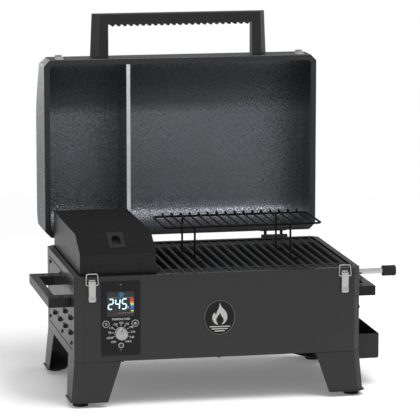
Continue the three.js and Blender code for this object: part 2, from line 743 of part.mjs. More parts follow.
// The frame of the hopper lid's sloped front: x, up the slope, out of it
function slopeFrame() {
  const { yFold, zFold, zTop, y0 } = HOPPER;
  const up = new THREE.Vector3(0, yFold - y0, zTop - zFold).normalize();
  const out = new THREE.Vector3(1, 0, 0).cross(up);
  const z = zFold + (PULL.y - y0) * (zTop - zFold) / (yFold - y0);
  return new THREE.Matrix4().makeBasis(new THREE.Vector3(1, 0, 0), up, out).setPosition(PULL.x, PULL.y, z);
}

function onSlope(points, low, high) {
  return loft(points, low, points, high, slopeFrame());
}

function rectangle(w, h) {
  return [[-w / 2, -h / 2], [w / 2, -h / 2], [w / 2, h / 2], [-w / 2, h / 2]];
}

function hopperLid() {
  const { x0, x1, y0, zFold, yFold, zTop } = HOPPER;
  const back = HOPPER_AXIS.y - 1.2;
  const slopeDrop = 1.7;
  const outline = [
    [y0, zFold - slopeDrop], [yFold + 0.4, zTop - SHEET], [back, zTop - SHEET],
    [back, zTop], [yFold, zTop], [y0, zFold],
  ];
  const sheet = cut(prism(outline, 'x', x0, x1), onSlope(rectangle(PULL.cupW + 3.6, PULL.cupH + 3.6), -5, 5));
  const notched = cut(sheet, ...hingeSpans('bin').map(hopperNotch));
  const rolls = hingeSpans('lid').map(([a, b]) => hopperRoll(a, b, KNUCKLE.r));
  return cut(join(notched, ...rolls), hopperRoll(x0, x1, KNUCKLE.bore));
}

// A finger pull set into the sloped front: a thin plate with an arched cup behind it
function hopperPull() {
  const { w, h, cupW, cupH } = PULL;
  const straight = cupH / 2 - cupW / 2;
  const round = arc(0, straight, cupW / 2, cupW / 2, 0, 180, 8);
  const arch = [[-cupW / 2, -cupH / 2], [cupW / 2, -cupH / 2], ...round];
  const body = onSlope(rectangle(w, h), GAP, 1.5).add(onSlope(rectangle(cupW + 3, cupH + 3), -11, 1));
  return cut(body, onSlope(arch, -9.5, 3));
}

function hopperGuard() {
  const { x0, x1, y0, y1 } = HOPPER;
  const rim = SHEET + GAP;
  const plate = box(x0 + rim, x1 - rim, y0 + rim, y1 - rim, 152, 153.5);
  const slots = range(10).flatMap((i) => [
    box(-268 + 14 * i, -258 + 14 * i, -155, -2, 150, 155),
    box(-268 + 14 * i, -258 + 14 * i, 8, 165, 150, 155),
  ]);
  return cut(plate, ...slots);
}

piece('hopper_bin', hopperBin(), SATIN_BLACK);
piece('hopper_lid', hopperLid(), SATIN_BLACK);
piece('hopper_pull', hopperPull(), PLASTIC);
piece('hopper_hinge_pin', hopperRoll(-257.4, -132.6, KNUCKLE.pin), STEEL);
piece('hopper_guard', hopperGuard(), STEEL);

// ---- auger, fan and fire pot ----

const TUBE = { x0: -235, x1: 41 };
const NECK = { x0: -220, x1: -170, half: 20, z: THROAT.z - GAP };

function augerTube() {
  const outer = join(
    alongX(TUBE.x0, TUBE.x1, 0, AUGER_Z, TUBE_R),
    box(NECK.x0, NECK.x1, -NECK.half, NECK.half, AUGER_Z, NECK.z),
  );
  const s = SHEET + 0.5;
  return cut(
    outer,
    alongX(TUBE.x0 - 1, TUBE.x1 + 1, 0, AUGER_Z, TUBE_R - s),
    box(NECK.x0 + s, NECK.x1 - s, s - NECK.half, NECK.half - s, AUGER_Z, NECK.z + 1),
  );
}

// The auger's flight: a flat strip wound round the shaft
function flight(x0, x1, pitch, rIn, rOut, thick) {
  const perTurn = 12;
  const steps = Math.round((x1 - x0) / pitch * perTurn);
  const vertices = [];
  for (let i = 0; i <= steps; i += 1) {
    const angle = 2 * Math.PI * i / perTurn;
    const x = x0 + (x1 - x0) * i / steps;
    for (const [r, dx] of [[rIn, 0], [rOut, 0], [rOut, thick], [rIn, thick]]) {
      vertices.push(new THREE.Vector3(x + dx, r * Math.cos(angle), AUGER_Z + r * Math.sin(angle)));
    }
  }
  const faces = [[0, 1, 2], [0, 2, 3]];
  for (let i = 0; i < steps; i += 1) {
    for (let k = 0; k < 4; k += 1) {
      const [a, b] = [4 * i + k, 4 * i + (k + 1) % 4];
      faces.push([a, a + 4, b + 4], [a, b + 4, b]);
    }
  }
  const last = 4 * steps;
  faces.push([last, last + 2, last + 1], [last, last + 3, last + 2]);
  const geometry = new THREE.BufferGeometry().setFromPoints(vertices);
  geometry.setIndex(faces.flat());
  return solid(geometry);
}

function augerScrew() {
  return alongX(-234.5, 40, 0, AUGER_Z, 5, 16).add(flight(-228, 34, 40, 4, 20.4, 2.5));
}

function augerMotor() {
  return join(box(-262, -236.3, -28, 28, 18, 72), alongX(-284, -261, 0, AUGER_Z, 22));
}

function fanHousing() {
  const { x0, x1, y, z, half } = FAN;
  const frame = cut(box(x0, x1, y - half, y + half, z - half, z + half), alongX(x0 - 1, x1 + 1, y, z, 31));
  const strut = (angle) => rod(
    [x0 + 1.6, y, z],
    [x0 + 1.6, y + 32 * Math.cos(angle), z + 32 * Math.sin(angle)],
    1.5,
    8,
  );
  return join(frame, alongX(x0, x0 + 3, y, z, 13), ...range(4).map((i) => strut(Math.PI * (0.25 + 0.5 * i))));
}

function fanImpeller() {
  const { x0, y, z } = FAN;
  const blades = range(7).map((i) => {
    const geometry = new THREE.BoxGeometry(14, 1.6, 18.5);
    geometry.rotateZ(THREE.MathUtils.degToRad(32));
    geometry.translate(0, 0, 19.5);
    geometry.rotateX(2 * Math.PI * i / 7);
    geometry.translate(x0 + 13.5, y, z);
    return solid(geometry);
  });
  return join(alongX(x0 + 4, x0 + 22, y, z, 12), ...blades);
}

function firePot() {
  const profile = [[0, 1.8], [38, 1.8], [38, 76], [42, 76], [42, 78], [36, 78], [36, 4], [0, 4]];
  const holes = range(8).map((i) => {
    const angle = 2 * Math.PI * (i + 0.5) / 8;
    const way = [Math.cos(angle), Math.sin(angle)];
    return rod([POT_X + 30 * way[0], 30 * way[1], 24], [POT_X + 44 * way[0], 44 * way[1], 24], 3, 6);
  });
  return cut(
    turned(profile, POT_X, 0, 24),
    alongX(POT_X - 50, POT_X - 20, 0, AUGER_Z, 20),
    alongX(POT_X - 50, POT_X - 20, 0, IGNITER_Z, 4.6, 12),
    ...holes,
  );
}

function chamberProbe() {
  return join(alongX(-125, -70, PROBE.y, PROBE.z, 3, 12), alongX(-117.2, -113.5, PROBE.y, PROBE.z, 7, 6));
}

piece('auger_tube', augerTube(), ALUMINISED);
piece('auger_screw', augerScrew(), STEEL);
piece('auger_motor', augerMotor(), STEEL);
piece('fan_housing', fanHousing(), PLASTIC);
piece('fan_impeller', fanImpeller(), PLASTIC);
piece('fire_pot', firePot(), STEEL);
piece('igniter_rod', alongX(-126, 58, 0, IGNITER_Z, 4, 12), STEEL);
piece('chamber_probe', chamberProbe(), STAINLESS);

// ---- flame broiler ----

function broilerBase() {
  const [x0, x1, half] = [-112, 284, 171];
  const z = BROILER_Z;
  const plate = box(x0, x1, -half, half, z, z + SHEET);
  const wall = cut(
    box(x0, x1, -half, half, z, z + 9),
    box(x0 + SHEET, x1 - SHEET, SHEET - half, half - SHEET, z - 1, z + 10),
  );
  const rails = [-1, 1].map((side) => box(20, 225, side * 68 - 1, side * 68 + 1, z + 0.5, z + 6));
  const spout = cut(box(256, 316, -22, 22, 100, z + 0.5), box(257.5, 317, -20.5, 20.5, 101.5, z + 5));
  const slots = range(6).map((i) => box(30 + 16 * i, 38 + 16 * i, -58, 58, z - 1, z + 3));
  const drain = box(258, 280, -20, 20, z - 1, z + 3);
  return cut(join(plate, wall, ...rails, spout), ...slots, drain);
}

function broilerSlider() {
  const z = BROILER_Z + SHEET + 0.4;
  return join(
    box(22, 136, -66, 66, z, z + 1.8),
    box(134.2, 136, ROD.y - 12, ROD.y + 12, z + 1, ROD.z + 8),
  );
}

function broilerKnob() {
  const { y, z } = ROD;
  const { x0, x1, r } = ROD_KNOB;
  const edge = 1.5;
  const body = join(
    alongX(x0 + edge, x1 - edge, y, z, r, 20),
    rod([x0, y, z], [x0 + edge, y, z], r - edge, 20, r),
    rod([x1 - edge, y, z], [x1, y, z], r, 20, r - edge),
  );
  return cut(body, alongX(x0 - 1, ROD.x1 + 1, y, z, ROD.r + GAP));
}

piece('broiler_base', broilerBase(), STEEL);
piece('broiler_slider', broilerSlider(), STEEL);
piece('broiler_rod', alongX(ROD.x0, ROD.x1, ROD.y, ROD.z, ROD.r), STAINLESS);
piece('broiler_knob', broilerKnob(), PLASTIC);

// ---- cooking grate, upper rack and grease tray ----

function mainGrate() {
  const { x0, x1, half, z0, z1, corner, tie } = GRATE;
  const outline = [
    [x0, -half], [x1 - corner, -half], [x1, corner - half],
    [x1, half - corner], [x1 - corner, half], [x0, half],
  ];
  const frame = cut(prism(outline, 'z', z0, z1 - 2), prism(inset(outline, 5), 'z', z0 - 1, z1));
  const bars = range(GRATE_BARS.count).map((i) => {
    const x = GRATE_BARS.first + GRATE_BARS.pitch * i;
    return box(x - GRATE_BARS.width / 2, x + GRATE_BARS.width / 2, 1 - half, half - 1, z0 + 1, z1);
  });
  const ties = [-tie, tie].map((y) => box(x0 + 1, x1 - 1, y - 3, y + 3, z0 + 0.5, z1 - 0.8));
  const ends = [[1 - half, -tie], [tie, half - 1]];
  const plates = ends.map(([y0, y1]) => box(x0 + 1, x1 - 10, y0, y1, z1 - 6, z1 - 3));
  return join(frame, ...bars, ...ties, ...plates);
}

function rackFrame() {
  const { x0, x1, y0, y1, z, r } = RACK;
  const corner = 6;
  const loop = [
    [x0, y0, z], [x1, y0, z], [x1 + corner, y0 + corner, z], [x1 + corner, y1 - corner, z], [x1, y1, z],
    [x0, y1, z], [x0 - 4, y1 - corner, z], [x0 - 4, y0 + corner, z], [x0, y0, z], [x0 + 30, y0, z],
  ];
  return wire(loop, r, 6);
}

// A leg under a rail that leans to its foot, and the foot's run along a grate bar
function rackLeg(x, y, footY) {
  const foot = GRATE.z1 + GAP + RACK.r;
  const footX = x + 0.2 * (footY - y);
  return wire([[x, y, RACK.z], [footX, footY, foot], [footX + 14, footY, foot]], RACK.r, 6).add(
    rod([footX - 12, footY, foot], [footX, footY, foot], RACK.r, 6),
  );
}

// A cross wire, kinked up near its rear end
function rackWire(x) {
  const { y0, y1, z } = RACK;
  const top = z + 1.2;
  const run = [[x, y0, top], [x, y1 - 14, top], [x, y1 - 2, top + 6], [x, y1, top]];
  return join(...run.slice(1).map((point, i) => rod(run[i], point, 1.5, 4)));
}

function upperRack() {
  const { first, pitch, count } = RACK_WIRES;
  const wires = range(count).map((i) => rackWire(first + pitch * i));
  const { y0, y1 } = RACK;
  const legs = RACK.legs.flatMap((x) => [rackLeg(x, y0, y0 - 8), rackLeg(x, y1, y1 - 24)]);
  return join(rackFrame(), ...wires, ...legs);
}

function greaseTray() {
  const { x0, x1, half, z0, z1, corner } = TRAY;
  const outline = (s) => [
    [x0 + s, z1 + (s ? 2 : 0)], ...arc(x0 + corner, z0 + corner, corner - s, corner - s, 180, 270, 4),
    ...arc(x1 - corner, z0 + corner, corner - s, corner - s, 270, 360, 4), [x1 - s, z1 + (s ? 2 : 0)],
  ];
  const pan = cut(
    prism(outline(0), 'y', -half, half),
    prism(outline(SHEET), 'y', SHEET - half, half - SHEET),
  );
  const hook = join(
    box(x0, x0 + SHEET, -40, 40, 10, 17),
    box(HALF_W + 0.8, x0 + SHEET, -40, 40, 15.5, 17),
    box(HALF_W + 0.8, HALF_W + 2.2, -40, 40, 4.5, 17),
  );
  return pan.add(hook);
}

piece('main_grate', mainGrate(), ENAMEL);
piece('upper_rack', upperRack(), ENAMEL);
piece('grease_tray', greaseTray(), COAT);

export default grill;
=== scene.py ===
"""A portable pellet smoker grill: the finish of every part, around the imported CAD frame.

Lengths are in millimetres until a mesh is written, and then in metres. +X is the grill's right-hand side and
-Y its front. The origin is the centre of the housing's underside. The lid stands open at rest.
"""
import json
import math

import bmesh
import bpy
from mathutils import Matrix, Vector


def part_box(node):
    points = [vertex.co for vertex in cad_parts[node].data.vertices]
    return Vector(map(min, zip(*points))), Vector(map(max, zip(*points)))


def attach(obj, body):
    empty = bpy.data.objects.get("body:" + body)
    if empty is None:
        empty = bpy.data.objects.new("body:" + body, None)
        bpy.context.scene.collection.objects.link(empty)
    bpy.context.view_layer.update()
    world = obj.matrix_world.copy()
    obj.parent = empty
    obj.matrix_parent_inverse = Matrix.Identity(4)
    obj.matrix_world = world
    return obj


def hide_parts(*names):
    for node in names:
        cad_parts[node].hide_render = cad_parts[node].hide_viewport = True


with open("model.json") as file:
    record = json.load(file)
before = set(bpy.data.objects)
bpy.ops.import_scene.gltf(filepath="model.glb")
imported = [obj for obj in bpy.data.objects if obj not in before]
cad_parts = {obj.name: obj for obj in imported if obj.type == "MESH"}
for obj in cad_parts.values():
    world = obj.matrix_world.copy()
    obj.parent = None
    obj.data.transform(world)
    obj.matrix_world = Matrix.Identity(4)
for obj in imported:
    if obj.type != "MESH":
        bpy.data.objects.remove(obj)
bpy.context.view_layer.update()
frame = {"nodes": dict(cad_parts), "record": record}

MM = 0.001
TAU = 2 * math.pi


# ---- lengths taken from the frame, in millimetres ----

def span(node):
    """The lowest and highest corner of a CAD node."""
    low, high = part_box(node)
    return low / MM, high / MM


def middle(node):
    low, high = span(node)
    return (low + high) / 2


HINGE = middle("hinge_pin_right")
HALF_W = span("lid_shell")[1].x
HALF_D = -span("housing")[0].y
CORNER = 13
RIM = 12
SHEET = 1.5
BAIL_R = 1.1
LATCH = {"left": middle("latch_base_left").x, "right": middle("latch_base_right").x}
BODY_OF = {node: body for body, nodes in frame["record"]["behaviour"]["bodies"].items() for node in nodes}
SLOT_OF = {part["node"]: part["material_slot"] for part in frame["record"]["subparts"]}
SIDES = ("left", "right")


# ---- procedural materials ----

def add(tree, kind, inputs=None, **settings):
    """A shader node. An input's value is a number, a colour or another node's output."""
    made = tree.nodes.new(kind)
    for key, value in settings.items():
        setattr(made, key, value)
    for key, value in (inputs or {}).items():
        if isinstance(value, bpy.types.NodeSocket):
            tree.links.new(value, made.inputs[key])
        else:
            made.inputs[key].default_value = value
    return made


def rgba(colour, scale=1.0):
    return (colour[0] * scale, colour[1] * scale, colour[2] * scale, 1.0)


def new_tree(name):
    material = bpy.data.materials.new(name)
    material.use_nodes = True
    material.node_tree.nodes.clear()
    return material, material.node_tree


def place(tree, stretch=(1, 1, 1)):
    """Coordinates fixed to the object, in metres."""
    coordinates = add(tree, "ShaderNodeTexCoord").outputs["Object"]
    return add(tree, "ShaderNodeMapping", {"Vector": coordinates, "Scale": stretch}).outputs[0]


def noise(tree, at, scale, detail=3.0, rough=0.55):
    settings = {"Vector": at, "Scale": scale, "Detail": detail, "Roughness": rough}
    return add(tree, "ShaderNodeTexNoise", settings).outputs["Fac"]


def remap(tree, value, low, high, to_low=0.0, to_high=1.0):
    inputs = {"Value": value, 1: low, 2: high, 3: to_low, 4: to_high}
    return add(tree, "ShaderNodeMapRange", inputs, clamp=True).outputs[0]


def plus(tree, a, b):
    return add(tree, "ShaderNodeMath", {0: a, 1: b}, operation="ADD").outputs[0]


def cells(tree, at, scale):
    return add(tree, "ShaderNodeTexVoronoi", {"Vector": at, "Scale": scale}).outputs["Distance"]


def mix(tree, factor, a, b):
    made = add(tree, "ShaderNodeMix", data_type="RGBA")
    for index, value in ((0, factor), (6, a), (7, b)):
        if isinstance(value, bpy.types.NodeSocket):
            tree.links.new(value, made.inputs[index])
        else:
            made.inputs[index].default_value = value
    return made.outputs[2]


def edge_wear(tree, radius, gain):
    """0 on flat faces, up to 1 along edges, by comparing a rounded normal with the true one."""
    rounded = add(tree, "ShaderNodeBevel", {"Radius": radius * MM}, samples=4).outputs[0]
    flat = add(tree, "ShaderNodeNewGeometry").outputs["Normal"]
    dot = add(tree, "ShaderNodeVectorMath", {0: rounded, 1: flat}, operation="DOT_PRODUCT").outputs["Value"]
    return remap(tree, dot, 1.0, 1.0 - gain, 0.0, 1.0)


def bump(tree, height, strength, distance, under=None):
    inputs = {"Height": height, "Strength": strength, "Distance": distance * MM}
    if under is not None:
        inputs["Normal"] = under
    return add(tree, "ShaderNodeBump", inputs).outputs[0]


def shade(tree, inputs):
    surface = add(tree, "ShaderNodeBsdfPrincipled", inputs)
    add(tree, "ShaderNodeOutputMaterial", {"Surface": surface.outputs[0]})
    return surface


def coated(name, colour, rough, grain=1500, depth=0.01, wear=0.3, metal=0.0, specular=0.5):
    """Sprayed and baked paint: fine orange peel, faint cloudy patches, edges rubbed a little lighter."""
    material, tree = new_tree(name)
    at = place(tree)
    peel = noise(tree, at, grain, 3.0, 0.6)
    cloud = noise(tree, at, 11, 4.0, 0.6)
    smear = remap(tree, noise(tree, at, 26, 3.0, 0.55), 0.45, 0.75)
    tone = mix(tree, cloud, rgba(colour, 0.86), rgba(colour, 1.14))
    speck = remap(tree, noise(tree, at, grain * 1.7, 1.0), 0.62, 0.8)
    tone = mix(tree, remap(tree, speck, 0, 1, 0, 0.25), tone, rgba(colour, 2.1))
    rubbed = edge_wear(tree, 0.9, 0.5)
    tone = mix(tree, remap(tree, rubbed, 0, 1, 0, wear), tone, rgba(colour, 2.6))
    dull = remap(tree, smear, 0, 1, rough, rough + 0.04)
    shade(tree, {
        "Base Color": tone, "Roughness": dull, "Metallic": metal, "Specular IOR Level": specular,
        "Normal": bump(tree, peel, 0.5, depth),
    })
    return material


def hammered(name, colour, cell=430):
    """Hammered paint: a net of dimples and ridges over metal flake, with a soft cloudiness."""
    material, tree = new_tree(name)
    at = place(tree)
    coarse = {"Vector": at, "Scale": cell * 0.5, "Detail": 2.0}
    drift = add(tree, "ShaderNodeTexNoise", coarse).outputs["Color"]
    shift = add(tree, "ShaderNodeVectorMath", {0: drift, 3: 0.0014}, operation="SCALE").outputs[0]
    moved = add(tree, "ShaderNodeVectorMath", {0: at, 1: shift}, operation="ADD").outputs[0]
    net = {"Vector": moved, "Scale": cell, "Smoothness": 0.5}
    ridges = add(tree, "ShaderNodeTexVoronoi", net, feature="SMOOTH_F1").outputs["Distance"]
    dimple = remap(tree, ridges, 0.12, 0.6)
    grain = noise(tree, at, cell * 1.15, 2.0, 0.6)
    pits = plus(tree, dimple, grain)
    contrast = remap(tree, pits, 0.72, 1.25)
    cloud = noise(tree, at, 7, 3.0, 0.6)
    tone = mix(tree, contrast, rgba(colour, 0.62), rgba(colour, 1.5))
    bluer = rgba((colour[0] * 0.9, colour[1], colour[2] * 1.15))
    tone = mix(tree, remap(tree, cloud, 0.3, 0.7, 0, 0.3), tone, bluer)
    dull = remap(tree, contrast, 0, 1, 0.34, 0.22)
    shade(tree, {
        "Base Color": tone, "Roughness": dull, "Metallic": 0.85,
        "Normal": bump(tree, pits, 1.0, 0.4, bump(tree, grain, 0.4, 0.06)),
    })
    return material


def brushed(name, colour, rough, along, streak=0.35, turn=0.5, depth=0.05):
    """Brushed metal: fine lines one way, a little smudging and brighter edges."""
    stretch = {"X": (14, 900, 900), "Y": (900, 14, 900), "Z": (900, 900, 14)}[along]
    material, tree = new_tree(name)
    at = place(tree)
    lines = noise(tree, place(tree, stretch), 1.6, 4.0, 0.65)
    smudge = noise(tree, at, 60, 4.0, 0.6)
    tone = mix(tree, lines, rgba(colour, 1 - streak), rgba(colour, 1 + streak * 0.4))
    worn = edge_wear(tree, 0.5, 0.5)
    tone = mix(tree, remap(tree, worn, 0, 1, 0, 0.4), tone, rgba((0.85, 0.85, 0.84)))
    spread = remap(tree, smudge, 0.3, 0.7, rough - 0.06, rough + 0.12)
    shade(tree, {
        "Base Color": tone, "Roughness": spread, "Metallic": 1.0, "Anisotropic": turn,
        "Normal": bump(tree, lines, 0.25, depth),
    })
    return material


def moulded(name, colour, rough=0.5, grain=520, depth=0.12):
    """Moulded plastic or rubber: a pebbled skin with a dusty bloom."""
    material, tree = new_tree(name)
    at = place(tree)
    pebble = cells(tree, at, grain)
    dust = remap(tree, noise(tree, at, 28, 5.0, 0.65), 0.45, 0.75, 0, 0.3)
    tone = mix(tree, dust, rgba(colour), rgba(colour, 1.9))
    tone = mix(tree, remap(tree, edge_wear(tree, 0.7, 0.5), 0, 1, 0, 0.3), tone, rgba(colour, 3.0))
    shade(tree, {
        "Base Color": tone, "Roughness": remap(tree, pebble, 0, 0.6, rough, rough + 0.12),
        "Normal": bump(tree, pebble, 0.35, depth),
    })
    return material


def printed(name, colour):
    """Screen-printed ink, with slightly uneven cover, and a faint glow that is painted light, since print is
    no lamp.
    """
    material, tree = new_tree(name)
    cover = noise(tree, place(tree), 1800, 2.0)
    ink = mix(tree, cover, rgba(colour, 0.82), rgba(colour))
    # Painted light: the emission makes the ink glow faintly, though print is no lamp.
    shade(tree, {"Base Color": ink, "Roughness": 0.55, "Emission Color": ink, "Emission Strength": 0.25})
    return material


def lit(name, colour, strength=1.0):
    """A lit part of the display, with the faint dot pattern of its mask."""
    material, tree = new_tree(name)
    dots = cells(tree, place(tree), 2600)
    power = remap(tree, dots, 0, 0.7, strength * 1.05, strength * 0.9)
    shade(tree, {
        "Base Color": rgba(colour, 0.3), "Roughness": 0.3,
        "Emission Color": rgba(colour), "Emission Strength": power,
    })
    return material


def window_glass(name):
    """The dark face of the display: smooth, with a faint grid and a slow change of tone."""
    material, tree = new_tree(name)
    at = place(tree)
    grid = cells(tree, at, 1500)
    haze = noise(tree, at, 35, 2.0)
    tone = mix(tree, haze, rgba((0.045, 0.05, 0.055)), rgba((0.065, 0.067, 0.07)))
    shade(tree, {
        "Base Color": tone, "Roughness": remap(tree, grid, 0, 1, 0.3, 0.36), "Specular IOR Level": 0.3,
    })
    return material


POWDER = coated("powder_coat", (0.04, 0.04, 0.041), 0.14, depth=0.008, specular=0.45)
SATIN = coated("satin_black", (0.018, 0.018, 0.0185), 0.24, specular=0.35)
HAMMER = hammered("hammertone", (0.15, 0.157, 0.17))
HOPPER_TOP = coated("hopper_black", (0.033, 0.033, 0.0335), 0.5, specular=0.0)
GRIP_BLACK = coated("grip_black", (0.03, 0.03, 0.0305), 0.24, specular=0.4)
PANEL = coated("panel_black", (0.0115, 0.0115, 0.012), 0.4, grain=1700, wear=0.15, specular=0.35)
NICKEL = brushed("bright_nickel", (0.88, 0.87, 0.84), 0.28, "Z")
POLISHED = brushed("polished_rod", (0.95, 0.94, 0.92), 0.2, "X", streak=0.1, turn=0.0, depth=0.004)
KNOB_FACE = brushed("knob_metal", (0.7, 0.7, 0.69), 0.3, "X")
STEEL = brushed("plain_steel", (0.3, 0.3, 0.29), 0.42, "X")
ALUMINISED = coated("aluminised", (0.33, 0.33, 0.33), 0.42, grain=160, depth=0.02, wear=0.2, metal=0.85)
ENAMEL = coated("enamel", (0.05, 0.05, 0.05), 0.4, grain=420, depth=0.22, wear=0.2, specular=0.25)
ASH = coated("ash_grey", (0.16, 0.16, 0.155), 0.7, grain=300, depth=0.1, wear=0.2, specular=0.2)
WIRE = coated("wire_enamel", (0.004, 0.004, 0.004), 0.4, grain=800, depth=0.05, wear=0.2, specular=0.2)
RUBBER = moulded("rubber", (0.012, 0.012, 0.012), 0.8, 700, 0.1)
PLASTIC = moulded("plastic", (0.02, 0.02, 0.021), 0.5)
TRIM = moulded("trim", (0.66, 0.66, 0.69), 0.55, 900, 0.04)
INK = printed("white_ink", (0.85, 0.86, 0.88))
GLASS = window_glass("display_glass")
FINISH = {
    "powder_coat": POWDER, "satin_black": SATIN, "hammertone": HAMMER, "panel_black": PANEL,
    "stainless": NICKEL, "steel": STEEL, "aluminised": ALUMINISED, "enamel": ENAMEL, "rubber": RUBBER,
    "plastic": PLASTIC, "trim": TRIM, "display": GLASS,
}


# ---- mesh helpers ----

def new_object(name, data):
    made = bpy.data.objects.new(name, data)
    bpy.context.scene.collection.objects.link(made)
    return made


def publish(
    name, mesh_parts, materials, body, slot, stands_for=(), bevel=0.0, segments=2, angle=32, sheet=0.0,
):
    """Turns a bmesh in millimetres into a finished piece that rides on a body."""
    bmesh.ops.recalc_face_normals(mesh_parts, faces=mesh_parts.faces)
    bmesh.ops.scale(mesh_parts, vec=(MM, MM, MM), verts=mesh_parts.verts)
    mesh = bpy.data.meshes.new(name)
    mesh_parts.to_mesh(mesh)
    mesh_parts.free()
    for material in materials:
        mesh.materials.append(material)
    mesh.polygons.foreach_set("use_smooth", [True] * len(mesh.polygons))
    piece = new_object(name, mesh)
    if bevel:
        round_edges(piece, bevel, segments, angle)
    if sheet:
        wall = piece.modifiers.new("sheet", "SOLIDIFY")
        wall.thickness = sheet * MM
        wall.offset = -1
        wall.use_even_offset = True
    if bevel or sheet:
        weigh_normals(piece)
    else:
        mesh.set_sharp_from_angle(angle=math.radians(angle))
    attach(piece, body)
    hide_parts(*stands_for)


def publish_node(node, parts, materials=None, **edges):
    """A piece that stands for a CAD node, on its body, in the finish of its material slot unless materials
    are given.
    """
    slot = SLOT_OF[node]
    publish(f"{node}_finish", parts, materials or [FINISH[slot]], BODY_OF[node], slot, [node], **edges)


def round_edges(piece, width, segments, angle):
    edges = piece.modifiers.new("edges", "BEVEL")
    edges.width = width * MM
    edges.segments = segments
    edges.limit_method = "ANGLE"
    edges.angle_limit = math.radians(angle)
    edges.use_clamp_overlap = False
    edges.miter_outer = "MITER_ARC"


def weigh_normals(piece):
    normals = piece.modifiers.new("normals", "WEIGHTED_NORMAL")
    normals.mode = "FACE_AREA"
    normals.weight = 50
    normals.keep_sharp = True


UPWARD = 0.9


def refined(node, bevel, segments=2, angle=32, materials=None, pierced=False):
    """The node's own solid, with its edges rounded. Flat faces are made whole unless pierced is true."""
    parts = bmesh.new()
    parts.from_mesh(frame["nodes"][node].data)
    bmesh.ops.scale(parts, vec=(1 / MM,) * 3, verts=parts.verts)
    bmesh.ops.remove_doubles(parts, verts=parts.verts, dist=0.002)
    if not pierced:
        bmesh.ops.dissolve_limit(
            parts, angle_limit=math.radians(0.6), verts=parts.verts, edges=parts.edges,
            use_dissolve_boundaries=False,
        )
    if materials and len(materials) > 1:
        for face in parts.faces:
            face.material_index = int(face.normal.z > UPWARD)
    publish_node(node, parts, materials, bevel=bevel, segments=segments, angle=angle)


def circle(parts, centre, side, up, radius, sides):
    turns = [TAU * i / sides for i in range(sides)]
    return [parts.verts.new(centre + radius * (side * math.cos(t) + up * math.sin(t))) for t in turns]


def skin(parts, rows, around=False):
    """Faces between neighbouring rows of points, joined end to end if around is true."""
    for near, far in zip(rows, rows[1:]):
        for i in range(len(near) if around else len(near) - 1):
            j = (i + 1) % len(near)
            parts.faces.new([near[i], near[j], far[j], far[i]])


def lathe(parts, profile, origin, axis, sides=48, closed=False):
    """A body of revolution. The profile is (radius, distance along the axis), from axis to axis or closed."""
    axis = Vector(axis).normalized()
    side = axis.orthogonal().normalized()
    up = axis.cross(side)
    origin = Vector(origin)
    rings = []
    for radius, along in profile:
        centre = origin + axis * along
        if radius < 1e-6:
            rings.append([parts.verts.new(centre)])
            continue
        rings.append(circle(parts, centre, side, up, radius, sides))
    if closed:
        rings.append(rings[0])
    for low, high in zip(rings, rings[1:]):
        for i in range(sides):
            j = (i + 1) % sides
            corners = [low[i % len(low)], low[j % len(low)], high[j % len(high)], high[i % len(high)]]
            unique = list(dict.fromkeys(corners))
            if len(unique) > 2:
                parts.faces.new(unique)


def filleted(points, bend, steps=5):
    """A polyline with its corners rounded."""
    points = [Vector(p) for p in points]
    path = [points[0]]
    for before, corner, after in zip(points, points[1:], points[2:]):
        come, go = (corner - before), (after - corner)
        reach = min(bend, come.length * 0.49, go.length * 0.49)
        start, end = corner - come.normalized() * reach, corner + go.normalized() * reach
        for k in range(steps + 1):
            t = k / steps
            path.append(start * (1 - t) ** 2 + corner * 2 * t * (1 - t) + end * t ** 2)
    path.append(points[-1])
    return path


def sweep(parts, points, radius, bend, sides=12):
    """A round wire along points, with its bends rounded and its ends slightly domed."""
    path = filleted(points, bend)
    way = (path[1] - path[0]).normalized()
    side = way.orthogonal().normalized()
    rings = []
    for before, point, after in zip(path[:1] + path, path, path[1:] + path[-1:]):
        new_way = (after - before).normalized()
        side = (way.rotation_difference(new_way) @ side).normalized()
        way = new_way
        rings.append(circle(parts, point, side, way.cross(side), radius, sides))
    skin(parts, rings, around=True)
    for end, outer, inner in ((rings[0], path[0], path[1]), (rings[-1], path[-1], path[-2])):
        tip = parts.verts.new(outer + (outer - inner).normalized() * radius * 0.3)
        for i in range(sides):
            parts.faces.new([end[i], end[(i + 1) % sides], tip])


def prism(parts, outline, axis, start, end, index=0):
    """A straight prism. The outline is (y, z) along x, (x, z) along y and (x, y) along z."""
    def at(point, along):
        a, b = point
        return {"x": (along, a, b), "y": (a, along, b), "z": (a, b, along)}[axis]
    low = [parts.verts.new(at(p, start)) for p in outline]
    high = [parts.verts.new(at(p, end)) for p in outline]
    count = len(outline)
    faces = [parts.faces.new(low), parts.faces.new(high)]
    for i in range(count):
        j = (i + 1) % count
        faces.append(parts.faces.new([low[i], low[j], high[j], high[i]]))
    for face in faces:
        face.material_index = index


def block(parts, low, high):
    outline = [(low[0], low[1]), (high[0], low[1]), (high[0], high[1]), (low[0], high[1])]
    prism(parts, outline, "z", low[2], high[2])


def arc(centre, radius, start, end, steps):
    """Points on an arc, in degrees."""
    angles = [math.radians(start + (end - start) * i / steps) for i in range(steps + 1)]
    return [(centre[0] + radius[0] * math.cos(a), centre[1] + radius[1] * math.sin(a)) for a in angles]


def rounded_box(x0, x1, y0, y1, radius, steps=4):
    corners = [(x1 - radius, y1 - radius, 0), (x0 + radius, y1 - radius, 90),
               (x0 + radius, y0 + radius, 180), (x1 - radius, y0 + radius, 270)]
    return [p for x, y, a in corners for p in arc((x, y), (radius, radius), a, a + 90, steps)]


def smooth_line(points, steps):
    """A curve through points (Catmull-Rom)."""
    points = [Vector(p) for p in points]
    ends = [points[0] * 2 - points[1], *points, points[-1] * 2 - points[-2]]
    line = []
    for a, b, c, d in zip(ends, ends[1:], ends[2:], ends[3:]):
        for k in range(steps):
            t = k / steps
            line.append(0.5 * (2 * b + (c - a) * t + (2 * a - 5 * b + 4 * c - d) * t ** 2
                               + (3 * b - a - 3 * c + d) * t ** 3))
    line.append(points[-1])
    return line


